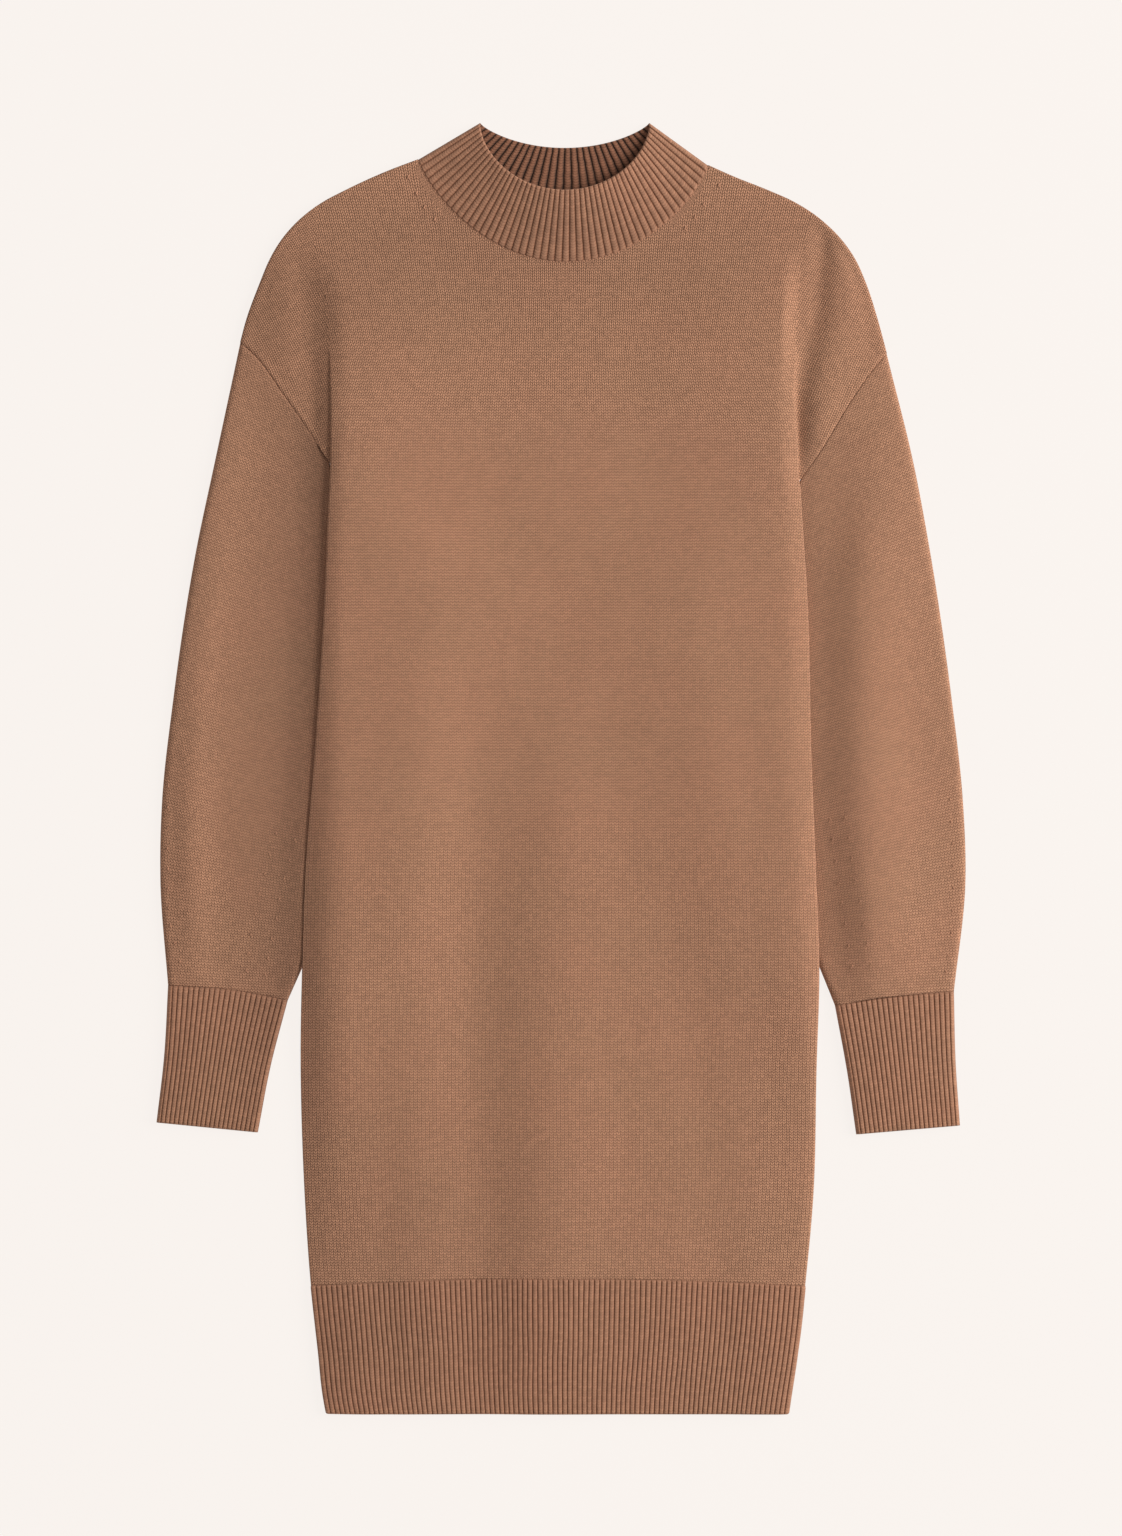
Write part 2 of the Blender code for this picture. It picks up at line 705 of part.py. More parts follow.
for old in list(bpy.data.objects):
    bpy.data.objects.remove(old, do_unlink=True)
DRESS = bpy.data.collections.new("sweater_dress")
bpy.context.scene.collection.children.link(DRESS)

body_front()
body_back()
hem_rib_front()
hem_rib_back()
SIDES = body_plan(FRONT_DROP)[: len(LOWER_ROWS)]
TOP_LEFT = sleeve_top(RIM_LEFT, SIDES[:, 0], UNDERARM_LEFT)
TOP_RIGHT = sleeve_top(RIM_RIGHT, SIDES[:, -1], UNDERARM_RIGHT)
sleeve(
    "sleeve_left",
    TOP_LEFT,
    SLEEVE_OUTER_LEFT,
    SLEEVE_INNER_LEFT,
    CUFF_SEAM_LEFT,
    SLEEVE_RIDGE_LEFT,
)
sleeve(
    "sleeve_right",
    TOP_RIGHT,
    SLEEVE_OUTER_RIGHT,
    SLEEVE_INNER_RIGHT,
    CUFF_SEAM_RIGHT,
    SLEEVE_RIDGE_RIGHT,
)
cuff("cuff_left", CUFF_SEAM_LEFT, CUFF_EDGES_LEFT)
cuff("cuff_right", CUFF_SEAM_RIGHT, CUFF_EDGES_RIGHT)
collar()
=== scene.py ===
import math

import bpy
import numpy as np
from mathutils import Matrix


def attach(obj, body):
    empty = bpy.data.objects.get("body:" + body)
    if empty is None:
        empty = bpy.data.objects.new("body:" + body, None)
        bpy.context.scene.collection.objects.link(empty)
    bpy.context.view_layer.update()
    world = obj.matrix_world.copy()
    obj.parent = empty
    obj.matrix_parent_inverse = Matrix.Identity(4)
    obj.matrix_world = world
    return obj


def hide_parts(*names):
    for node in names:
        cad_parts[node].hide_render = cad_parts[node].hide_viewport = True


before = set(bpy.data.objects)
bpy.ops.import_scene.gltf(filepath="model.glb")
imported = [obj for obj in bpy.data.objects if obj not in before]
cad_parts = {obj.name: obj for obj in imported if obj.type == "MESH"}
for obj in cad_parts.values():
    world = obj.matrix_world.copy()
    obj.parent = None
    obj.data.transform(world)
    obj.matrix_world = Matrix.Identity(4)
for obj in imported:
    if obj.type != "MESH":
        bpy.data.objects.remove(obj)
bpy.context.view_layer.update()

# Sizes are in millimetres until a mesh is made. x runs across the dress, "up" is the height
# above the hem's edge, z is the height above the table that the dress lies on. Pairs are for the
# left and the right, or the front and the back, where no note says something else.
dress = {
    "length": 904.8,
    "wall": 2.2,
    "ribWall": 2.4,
    "seamGap": 0.3,
    "seamAir": 0.8,  # between the front and the back where they are sewn
    "slack": 1.7,  # more air in the middle of the body
    "roll": 14,  # width of the body's rolled side edges
    "overSleeve": 5.6,  # how far the sleeves lift the body that lies on them
    "overStart": (170, 130),  # up: where that lift begins, and the height over which it grows
    "overPast": 8,  # how far past a sleeve's hidden edge the lift begins to fall
    "overRamp": 45,  # over what width it falls
    "overEnd": 0.045,  # share of the sides' height, under the underarms, where they come off the sleeves
    "airEnd": 0.85,  # share of the way up from the underarms at which the front has no more slack
    "hemSeam": 90,
    "hemBow": 5,
    "underarm": 665,
}


def smoothRead(keys, values, at):
    keys, values = np.asarray(keys, float), np.asarray(values, float)
    if keys[0] > keys[-1]:
        keys, values = keys[::-1], values[::-1]
    slopes = np.gradient(values, keys)
    low = np.clip(np.searchsorted(keys, at) - 1, 0, len(keys) - 2)
    step = keys[low + 1] - keys[low]
    t = np.clip((at - keys[low]) / step, 0, 1)
    start = (1 + 2 * t) * (1 - t) ** 2 * values[low] + t * (1 - t) ** 2 * step * slopes[low]
    end = t * t * (3 - 2 * t) * values[low + 1] + t * t * (t - 1) * step * slopes[low + 1]
    return start + end


def readColumn(rows, column, at):
    rows = np.asarray(rows, float)
    return smoothRead(rows[:, 0], rows[:, column], at)


def readLine(rows, column, at):
    rows = np.asarray(rows, float)
    return np.interp(at, rows[:, 0], rows[:, column])


def stepsOf(points):
    return np.linalg.norm(np.diff(points, axis=0), axis=1)


def walked(points):
    steps = stepsOf(points)
    return np.r_[0, np.cumsum(steps)] / steps.sum()


def alongCurve(points, share):
    points = np.asarray(points, float)
    way = walked(points)
    return np.stack([smoothRead(way, points[:, i], share) for i in (0, 1)], -1)


def alongLine(points, share):
    way = walked(points)
    return np.stack([np.interp(share, way, points[:, i]) for i in (0, 1)], -1)


def mix(a, b, share):
    return a + (b - a) * share


def eased(share):
    share = np.clip(share, 0, 1)
    return share * share * (3 - 2 * share)


def rounded(share):  # a quarter round, upright at 0 and level at 1
    return np.sqrt(1 - (1 - np.clip(share, 0, 1)) ** 2)


def crown(share):
    return np.clip(4 * share * (1 - share), 0, 1)


def patchBetween(bottom, top, left, right, u, v):
    u, v = u[None, :, None], v[:, None, None]
    between = (1 - v) * bottom[None] + v * top[None] + (1 - u) * left[:, None] + u * right[:, None]
    return between - mix(mix(bottom[0], bottom[-1], u), mix(top[0], top[-1], u), v)


def softNoise(x, y, size, seed):  # smooth unevenness between -1 and 1
    x, y = np.asarray(x, float) / size, np.asarray(y, float) / size
    cellX, cellY = np.floor(x), np.floor(y)
    fx, fy = eased(x - cellX), eased(y - cellY)

    def corner(dx, dy):
        wild = np.sin((cellX + dx) * 127.1 + (cellY + dy) * 311.7 + seed * 74.7) * 43758.5453
        return (wild - np.floor(wild)) * 2 - 1

    return mix(mix(corner(0, 0), corner(1, 0), fx), mix(corner(0, 1), corner(1, 1), fx), fy)


def toScene(points):
    return (np.asarray(points) - (0, dress["length"] / 2, 0)) * 0.001


shading = {
    # painted shade, soft places where the yarn is darkened as if shade fell there: across, up, half width,
    # half height, how much darker
    "places": [(-14, 828, 72, 26, 0.12), (0, 796, 140, 42, 0.08), (-110, 120, 70, 90, 0.08),
               (-213, 775, 22, 60, 0.13), (-110, 45, 90, 50, 0.05), (-135, 795, 75, 60, 0.09),
               (-176, 715, 12, 60, 0.08), (174, 685, 7, 26, 0.16), (-176, 280, 16, 130, 0.16),
               (172, 650, 9, 150, 0.08), (130, 828, 60, 34, 0.09), (-76, 872, 24, 30, 0.1)],
    "besideTop": 760,  # the painted shadow of the body on a sleeve's yarn reaches up to here
    "besideFade": 60,
    # how open the plain knit is: up, between its wales, between the legs of a stitch, and how much
    # lighter the yarn is to make up for it
    "openKnit": [(0, 0.9, 0.4, 1), (380, 0.85, 0.5, 1), (450, 0.8, 0.6, 1.02), (600, 0.8, 0.6, 1.03),
                 (700, 0.85, 0.75, 1.08), (770, 0.95, 0.95, 1.15), (900, 0.95, 0.95, 1.16)],
}


# painted shade: darkens the yarn beside the body as the body's shadow, and at the soft places
def paintedShadeAt(points, beside):
    light = np.ones(len(points))
    if beside:
        up = np.clip(points[:, 1], 0, dress["underarm"])
        out = beside["sign"] * (points[:, 0] - readColumn(sideEdges, beside["side"] + 1, up))
        fade = eased((shading["besideTop"] - points[:, 1]) / shading["besideFade"])
        light = mix(light, readLine(beside["paintedShadeBeside"], 1, out), fade)
    for across, up, width, height, amount in shading["places"]:
        away = ((points[:, 0] - across) / width) ** 2 + ((points[:, 1] - up) / height) ** 2
        light = light * (1 - amount * np.exp(-away))
    return light


def newObject(name, data):
    made = bpy.data.objects.new(name, data)
    bpy.context.scene.collection.objects.link(made)
    return made


def makePiece(name, points, faces, maps, material, lining=None, beside=None):
    mesh = bpy.data.meshes.new(name)
    mesh.from_pydata(toScene(points).tolist(), [], faces)
    stitches = mesh.uv_layers.new(name="stitches")
    stitches.data.foreach_set("uv", np.asarray(maps, np.float32).ravel())
    waleGap, legGap, lighter = (readLine(shading["openKnit"], part, points[:, 1]) for part in (1, 2, 3))
    # painted shade beside the body and in soft places, times the lighter yarn of the open knit
    light = paintedShadeAt(points, beside) * (lighter if material == plainYarn else 1)
    for label, values in (("paintedShadeAndKnitTone", light), ("waleGap", waleGap), ("legGap", legGap)):
        mesh.attributes.new(label, "FLOAT", "POINT").data.foreach_set("value", values)
    mesh.shade_smooth()
    mesh.materials.append(material)
    if lining:
        mesh.materials.append(lining[0])
        mesh.polygons.foreach_set("material_index", lining[1])
    piece = newObject(name, mesh)
    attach(piece, "root")
    return piece


def cornersOf(grid, ring):
    beside = np.roll(grid, -1, axis=1) if ring else grid[:, 1:]
    here = grid if ring else grid[:, :-1]
    return np.stack([here[:-1], beside[:-1], beside[1:], here[1:]], 2)


def clothPiece(name, outer, inner, stitches, material, ring=False, same=None, patches=(),
               lining=None, beside=None):
    # outer and inner are the two faces of a wall; same joins vertices, patches map a part anew
    rows, columns = outer.shape[:2]
    count = rows * columns
    index = np.arange(count).reshape(rows, columns) if same is None else same
    quads = cornersOf(index, ring)
    maps = cornersOf(stitches, ring)
    for where, other in patches:
        maps[where] = cornersOf(other, ring)[where]
    row, column = rows // 2, columns // 4
    here = outer[row, column]
    flip = np.cross(outer[row, column + 1] - here, outer[row + 1, column] - here)[2] < 0
    faces, loops, isInside = [], [], []

    def addFace(corners, places, turned, inside=False):
        faces.append(corners[::-1] if turned else corners)
        loops.extend(places[::-1] if turned else places)
        isInside.append(inside)

    for quad, places in zip(quads.reshape(-1, 4).tolist(), maps.reshape(-1, 4, 2).tolist()):
        keep = [i for i in range(4) if quad[i] != quad[i - 1]]
        if len(keep) > 2:
            for shift, turned in ((0, flip), (count, not flip)):
                addFace([quad[i] + shift for i in keep], [places[i] for i in keep], turned, shift > 0)
    around = list(range(columns)) + [0] * ring
    border = [[(0, c) for c in around], [(rows - 1, c) for c in around][::-1]]
    if not ring:
        border = [border[0] + [(r, columns - 1) for r in range(1, rows)] + border[1][1:]
                  + [(r, 0) for r in range(rows - 2, -1, -1)]]
    for line in border:
        for first, second in zip(line, line[1:]):
            p, q = int(index[first]), int(index[second])
            if p != q:
                places = [stitches[at] for at in (second, first, first, second)]
                addFace([q, p, p + count, q + count], places, flip)
    points = np.concatenate([outer.reshape(-1, 3), inner.reshape(-1, 3)])
    used = np.unique(np.concatenate([np.asarray(face) for face in faces]))
    renumber = np.zeros(2 * count, int)
    renumber[used] = np.arange(len(used))
    faces = [renumber[face].tolist() for face in faces]
    lining = lining and (lining, isInside)
    return makePiece(name, points[used], faces, np.asarray(loops), material, lining, beside)


def newGroup(name, inputs, outputs):  # an input without a value is a vector
    group = bpy.data.node_groups.new(name, "ShaderNodeTree")
    for label, value in inputs.items():
        kind = "Vector" if value is None else "Color" if isinstance(value, tuple) else "Float"
        socket = group.interface.new_socket(label, in_out="INPUT", socket_type="NodeSocket" + kind)
        if value is not None:
            socket.default_value = value
    for label in outputs:
        kind = "Color" if label == "Color" else "Float"
        group.interface.new_socket(label, in_out="OUTPUT", socket_type="NodeSocket" + kind)
    return group, group.nodes.new("NodeGroupInput"), group.nodes.new("NodeGroupOutput")


def wire(tree, source, socket):
    if isinstance(source, (int, float, tuple)):
        socket.default_value = source
    else:
        tree.links.new(source, socket)


def wireAll(tree, node, sources):
    for label, source in sources.items():
        wire(tree, source, node.inputs[label])


def addNode(tree, kind, *values, **settings):
    node = tree.nodes.new("ShaderNode" + kind)
    for setting, value in settings.items():
        setattr(node, setting, value)
    for value, socket in zip(values, node.inputs):
        wire(tree, value, socket)
    return node


def maths(tree, operation, *values, clamp=False):
    return addNode(tree, "Math", *values, operation=operation, use_clamp=clamp).outputs[0]


def mapRange(tree, value, low, high, toLow, toHigh):
    return addNode(tree, "MapRange", value, low, high, toLow, toHigh).outputs[0]


def noise(tree, vector, scale, detail, kind="2D"):
    node = addNode(tree, "TexNoise", vector, noise_dimensions=kind)
    wireAll(tree, node, {"Scale": scale, "Detail": detail})
    return node.outputs["Fac"]


def blend(tree, kind, factor, a, b):
    node = addNode(tree, "Mix", factor, data_type="RGBA", blend_type=kind)
    wire(tree, a, node.inputs[6])
    wire(tree, b, node.inputs[7])
    return node.outputs[2]


def halfWave(tree, value):  # 0 at each whole number, and round between
    return maths(tree, "SINE", maths(tree, "MULTIPLY", maths(tree, "FRACT", value), math.pi))


def greyOf(tree, value):
    return addNode(tree, "CombineColor", value, value, value).outputs[0]


def meshValue(tree, name):  # what makePiece wrote at the points of a mesh
    return addNode(tree, "Attribute", attribute_name=name).outputs["Fac"]


def makeKnitGroup():  # V stitches: x counts the wales, y counts the courses
    tree, given, out = newGroup(
        "knitStitches",
        {"Stitches": None, "Slant": 0.42, "Leg Gap": 0.3, "Course Gap": 0.8, "Wale Gap": 0.5,
         "Wander": 0.55},
        ("Height", "Tone", "Side"))
    stitch, slant, legGap, courseGap, waleGap, wander = given.outputs[:6]
    split = addNode(tree, "SeparateXYZ", stitch)
    swayed = []
    for part, size in ((0, 0.45), (1, 0.62)):
        sway = maths(tree, "SUBTRACT", noise(tree, stitch, size, 1.0), 0.5)
        swayed.append(maths(tree, "MULTIPLY_ADD", sway, wander, split.outputs[part]))
    u, v = swayed
    off = maths(tree, "ABSOLUTE", maths(tree, "SUBTRACT", maths(tree, "FRACT", u), 0.5))
    side = maths(tree, "MULTIPLY", off, 2.0)
    phase = maths(tree, "SUBTRACT", v, maths(tree, "MULTIPLY", side, slant))
    edge = maths(tree, "MULTIPLY", maths(tree, "POWER", side, 4.0), waleGap)
    middle = maths(tree, "POWER", maths(tree, "SUBTRACT", 1.0, side), 3.0)
    middle = maths(tree, "MULTIPLY", middle, legGap)
    across = maths(tree, "MULTIPLY", *(maths(tree, "SUBTRACT", 1.0, gap) for gap in (edge, middle)))
    alongYarn = maths(tree, "POWER", halfWave(tree, phase), courseGap)
    height = maths(tree, "MULTIPLY", across, alongYarn, clamp=True)
    cell = addNode(tree, "CombineXYZ", maths(tree, "FLOOR", u), maths(tree, "FLOOR", phase))
    white = addNode(tree, "TexWhiteNoise", cell.outputs[0], noise_dimensions="2D")
    wireAll(tree, out, {"Height": height, "Tone": white.outputs["Value"], "Side": side})
    return tree


def makeYarnGroup():  # heathered yarn: a colour mixed from a light one and a dark one painted as shade in the stitches' hollows, and its fuzz
    tree, given, out = newGroup(
        "heatherYarn",
        {"Height": 0.5, "Tone": 0.5, "Hollow Shade": (0.2, 0.1, 0.06, 1), "Light": (0.5, 0.27, 0.17, 1),
         "Heather": 0.2, "Cloud": 0.08},
        ("Color", "Roughness", "Fuzz"))
    height, tone, hollowShade, light, heather, cloudy = given.outputs[:6]
    place = addNode(tree, "TexCoord").outputs["Object"]
    fibre, cloud, wide = (noise(tree, place, scale, detail, "3D")
                          for scale, detail in ((900.0, 3.0), (55.0, 2.0), (14.0, 1.0)))
    toneOff, fibreOff, cloudOff, wideOff = (maths(tree, "SUBTRACT", value, 0.5)
                                            for value in (tone, fibre, cloud, wide))
    # painted shade: low parts of a stitch, its hollows, take the dark colour
    colour = blend(tree, "MIX", maths(tree, "POWER", height, 0.8), hollowShade, light)
    shade = maths(tree, "MULTIPLY_ADD", toneOff, heather, 1.0)
    shade = maths(tree, "MULTIPLY_ADD", fibreOff, 0.25, shade)
    shade = maths(tree, "MULTIPLY_ADD", maths(tree, "ADD", cloudOff, wideOff), cloudy, shade)
    tinted = blend(tree, "MULTIPLY", 1.0, colour, greyOf(tree, shade))
    rosy = mapRange(tree, wide, 0.35, 0.65, 0.0, 0.5)
    wireAll(tree, out, {"Color": blend(tree, "MULTIPLY", rosy, tinted, (1.02, 0.97, 0.98, 1)),
                        "Roughness": mapRange(tree, height, 0.0, 1.0, 0.98, 0.82), "Fuzz": fibre})
    return tree


knitGroup = makeKnitGroup()
yarnGroup = makeYarnGroup()

yarns = {  # the yarn's dark colour, painted as shade in the stitches' hollows, and its light colour, how the stitches lie, and how far they stand out
    "plainKnit": {"hollowShade": (0.055, 0.024, 0.013, 1), "light": (0.600, 0.313, 0.190, 1), "slant": 0.68,
                  "courseGap": 0.65, "wander": 0.4, "relief": 0.6, "strength": 0.6},
    "ribKnit": {"hollowShade": (0.215, 0.096, 0.054, 1), "light": (0.408, 0.211, 0.130, 1), "slant": 0.55,
                "legGap": 0.22, "courseGap": 0.34, "waleGap": 0.4, "wander": 0.15, "relief": 0.4,
                "strength": 0.5, "grooveShade": (0.25, (0.60, 0.50, 0.44, 1))},
    "loose": {"hollowShade": (0.16, 0.070, 0.040, 1), "light": (0.46, 0.240, 0.148, 1), "relief": 0.2,
              "strength": 0.5},
}
# painted shade: a darker copy of the rib yarn, with near-black grooves, for the shaded inside of the
# collar
yarns["ribInside"] = dict(yarns["ribKnit"], hollowShade=(0.06, 0.022, 0.012, 1), light=(0.345, 0.154, 0.089, 1),
                          grooveShade=(-0.25, (0.008, 0.005, 0.004, 1)))
knitGloss = {"Metallic": 0.0, "Specular IOR Level": 0.22, "Sheen Weight": 0.08, "Sheen Roughness": 0.6,
             "Sheen Tint": (1.0, 0.86, 0.76, 1)}
looseGloss = {"Specular IOR Level": 0.2, "Sheen Weight": 0.08}


def newMaterial(name):
    material = bpy.data.materials.new(name)
    material.use_nodes = True
    return material, material.node_tree, material.node_tree.nodes["Principled BSDF"]


def startYarn(name, look):
    material, tree, _ = newMaterial(name)
    where = addNode(tree, "UVMap", uv_map="stitches").outputs[0]
    yarn = addNode(tree, "Group", node_tree=yarnGroup)
    wireAll(tree, yarn, {"Hollow Shade": look["hollowShade"], "Light": look["light"]})
    return material, tree, where, yarn


def finishYarn(tree, look, yarn, colour, height, gloss):
    bump = addNode(tree, "Bump")
    wireAll(tree, bump, {"Strength": look["strength"], "Distance": look["relief"] * 0.001,
                         "Height": height})
    wireAll(tree, tree.nodes["Principled BSDF"], {
        "Base Color": colour, "Roughness": yarn.outputs["Roughness"], "Normal": bump.outputs[0], **gloss})


def makeKnitMaterial(name, look):
    material, tree, where, yarn = startYarn(name, look)
    knit = addNode(tree, "Group", where, node_tree=knitGroup)
    gaps = [look[label] if label in look else meshValue(tree, label) for label in ("waleGap", "legGap")]
    wireAll(tree, knit, {"Slant": look["slant"], "Course Gap": look["courseGap"], "Wander": look["wander"],
                         "Wale Gap": gaps[0], "Leg Gap": gaps[1]})
    wireAll(tree, yarn, {"Height": knit.outputs["Height"], "Tone": knit.outputs["Tone"]})
    colour = yarn.outputs["Color"]
    if "grooveShade" in look:  # painted shade: between two ribs the groove's yarn is darkened as if in shadow
        start, shadeColour = look["grooveShade"]
        depth = mapRange(tree, knit.outputs["Side"], start, 1.0, 0.0, 1.0)
        colour = blend(tree, "MULTIPLY", maths(tree, "MULTIPLY", depth, depth), colour, shadeColour)
    # painted shade, beside the body and in soft places, times the open knit's lighter yarn
    colour = blend(tree, "MULTIPLY", 1.0, colour, greyOf(tree, meshValue(tree, "paintedShadeAndKnitTone")))
    height = maths(tree, "MULTIPLY_ADD", yarn.outputs["Fuzz"], 0.22, knit.outputs["Height"])
    finishYarn(tree, look, yarn, colour, height, knitGloss)
    return material


def makeLooseYarn(name, look):
    material, tree, where, yarn = startYarn(name, look)
    split = addNode(tree, "SeparateXYZ", where)
    twist = maths(tree, "MULTIPLY_ADD", split.outputs[0], 3.0, split.outputs[1])
    ply = maths(tree, "POWER", halfWave(tree, twist), 0.4)
    wire(tree, ply, yarn.inputs["Height"])
    height = maths(tree, "MULTIPLY_ADD", yarn.outputs["Fuzz"], 0.3, ply)
    finishYarn(tree, look, yarn, yarn.outputs["Color"], height, looseGloss)
    return material


plainYarn = makeKnitMaterial("plainKnitYarn", yarns["plainKnit"])
ribYarn = makeKnitMaterial("ribKnitYarn", yarns["ribKnit"])
shadedInsideYarn = makeKnitMaterial("ribInsideYarn", yarns["ribInside"])
looseYarn = makeLooseYarn("looseYarn", yarns["loose"])
print("yarn materials made")

sideEdges = [  # up, left, right
    (0, -164.3, 159.4), (10, -166.3, 160.9), (45, -170.4, 166.2), (90, -175.4, 171.3),
    (150, -179.6, 176.8), (247, -182.4, 179.2), (311, -181.2, 180.8), (387, -178.6, 178.2),
    (458, -173, 175.4), (565, -166, 172.8), (640, -162.8, 168.2), (665, -161.5, 166.9)]
hiddenEdges = [  # up, left, right: how far inwards a sleeve reaches under the body
    (180, -212, 207), (289, -191.6, 192), (310, -181, 182), (366, -158, 160), (430, -133, 136),
    (500, -113, 117), (555, -103, 106), (580, -109, 114), (605, -128, 133), (622, -143, 150),
    (640, -158, 164)]
# Outlines, as (across, up): the fold of each tuck beside an armhole, the armholes and the shoulders
folds = ([(-161.5, 665.5), (-161.4, 709), (-162.4, 745), (-165, 782), (-172, 815)],
         [(166.9, 653.6), (164.2, 690), (163.4, 712), (163.9, 735), (165.8, 775), (168.8, 808)])
armholes = ([(-161.5, 665.5), (-181.5, 695.6), (-195.8, 715.9), (-213, 739.7), (-224.8, 750.9)],
            [(166.9, 653.6), (183.3, 676.7), (200.5, 705.4), (217.6, 730.6), (228.3, 743.2)])
shoulders = ([(-224.8, 750.9), (-220.9, 765.6), (-210.6, 793.6), (-204.8, 807.6), (-196.7, 821.6),
              (-184.6, 835.6), (-166, 849.6), (-152.3, 856.8), (-122.2, 870.6), (-100.2, 879)],
             [(228.3, 743.2), (222.3, 765.6), (213.2, 793.6), (207, 807.6), (197.6, 821.6),
              (183.6, 835.6), (162.5, 849.6), (146, 857), (120, 867.4), (103, 875)])
foldTop = (0.598, 0.588)  # share of each shoulder's outline at which its tuck ends
for fold, shoulder, share in zip(folds, shoulders, foldTop):
    fold.append(tuple(alongCurve(shoulder, np.array(share))))
neck = {
    "middle": 1.4, "half": 101.6, "drop": (70, 37), "power": 0.77,
    "corners": (0.1867, 0.8054),  # shares of the width at which the neck begins and ends
    "frontColumns": (34, 84),  # columns of the panel's mesh: beside the neck, along it
    "backColumns": (22, 60),
    # the band of stitches that follows the neckline: their sizes, its rows, and where its sides end
    "bandWale": 2.4, "bandCourse": 2.0, "bandRows": 4, "bandEnds": (-76, 76),
}
# Shares of the way up the panels, below and above the underarms, and across the outer shoulders
lowerRows = np.r_[0, 0.0012, 0.003, 0.0055, np.linspace(0.009, 1, 186)]
upperRows = np.r_[np.linspace(0, 0.975, 58), 0.987, 0.995, 1]
upperRows[np.argmin(np.abs(upperRows - 0.5))] = 0.5
shoulderShares = np.r_[1, 0.985, 0.95, np.linspace(0.9, 0.03, 20)]


def bodyColumns(edgeCount, neckCount):
    low, high = neck["corners"]
    slope = np.linspace(0, 1, edgeCount + 1)[:-1] ** 1.5
    turned = mix(-np.cos(np.linspace(0, np.pi, neckCount + 1)), np.linspace(-1, 1, neckCount + 1), 0.45)
    shares = np.r_[low * slope, mix(low, high, (turned + 1) / 2), 1 - (1 - high) * slope[::-1]]
    return slope, turned, shares


def neckCurve(drop, t):
    tilt = mix(shoulders[0][-1][1], shoulders[1][-1][1], (t + 1) / 2)
    fall = drop * np.clip(1 - t * t, 0, 1) ** neck["power"]
    return np.stack([neck["middle"] + neck["half"] * t, tilt - fall], -1)


def sidePoints(side, share):  # on the body's side, from the hem's seam up to the foot of its tuck
    up = mix(dress["hemSeam"], folds[side][0][1], share)
    return np.stack([readColumn(sideEdges, side + 1, up), up], -1)


def bodyPlan(drop, counts):
    slope, turned, u = bodyColumns(*counts)
    left, right = (np.concatenate([sidePoints(side, lowerRows[:-1]), folds[side][:1]]) for side in (0, 1))
    lower = mix(left[:, None], right[:, None], u[None, :, None])
    lower[:, :, 1] += dress["hemBow"] * crown(u) * (1 - lowerRows)[:, None]
    slopes = [alongCurve(shoulders[side], mix(foldTop[side], 1, slope)) for side in (0, 1)]
    top = np.concatenate([slopes[0], neckCurve(drop, turned), slopes[1][::-1]])
    left, right = (alongCurve(fold, upperRows) for fold in folds)
    upper = patchBetween(lower[-1], top, left, right, u, upperRows)
    return np.concatenate([lower, upper[1:]])


def shoulderRims():
    low, high = upperRows[upperRows < 0.5] * 2, upperRows[upperRows >= 0.5] * 2 - 1
    return [np.concatenate([alongCurve(armhole, low), alongCurve(shoulder, high * top)])
            for armhole, shoulder, top in zip(armholes, shoulders, foldTop)]


# Long soft folds in the front, each a width and rows of (up, across, height)
frontFolds = [
    (27, [(0, -60, -1), (95, -60, -2.7), (250, -58, -2.6), (430, -60, -1.8), (560, -62, -0.5),
          (640, -62, 0)]),
    (30, [(60, -104, 0.4), (250, -106, 1.1), (430, -104, 1.6), (560, -100, 1), (660, -96, 0)]),
    (34, [(0, -6, 1.2), (95, -4, 2.3), (300, 0, 2.3), (480, 4, 1.8), (620, 6, 0.4), (700, 6, 0)]),
    (17, [(0, 118, -0.3), (110, 110, -0.4), (300, 86, -0.3), (480, 77, -0.2), (580, 74, -0.1),
          (640, 72, 0)]),
    (19, [(0, 140, 0.2), (110, 134, 0.4), (300, 112, 0.3), (480, 104, 0.2), (600, 102, 0), (660, 102, 0)]),
    (12, [(60, 152, 0), (210, 150, -0.2), (330, 138, -0.3), (460, 134, -0.3), (590, 132, -0.1),
          (640, 131, 0)]),
    (11, [(0, -121, -0.3), (90, -121, -0.4), (190, -121, -0.4), (260, -121, 0)]),
]


def foldHeight(x, up):
    height = np.zeros_like(x)
    for width, rows in frontFolds:
        away = (x - readColumn(rows, 1, up)) / width
        height = height + readColumn(rows, 2, up) * np.exp(-away * away)
    return height


def lifted(x, up, climbed, ramp):
    start, growth = dress["overStart"]
    inwards = (x - readColumn(hiddenEdges, 1, up), readColumn(hiddenEdges, 2, up) - x)
    near = sum(eased(1 - (past - dress["overPast"]) / ramp) for past in inwards)
    return dress["overSleeve"] * climbed * eased((up - start) / growth) * near


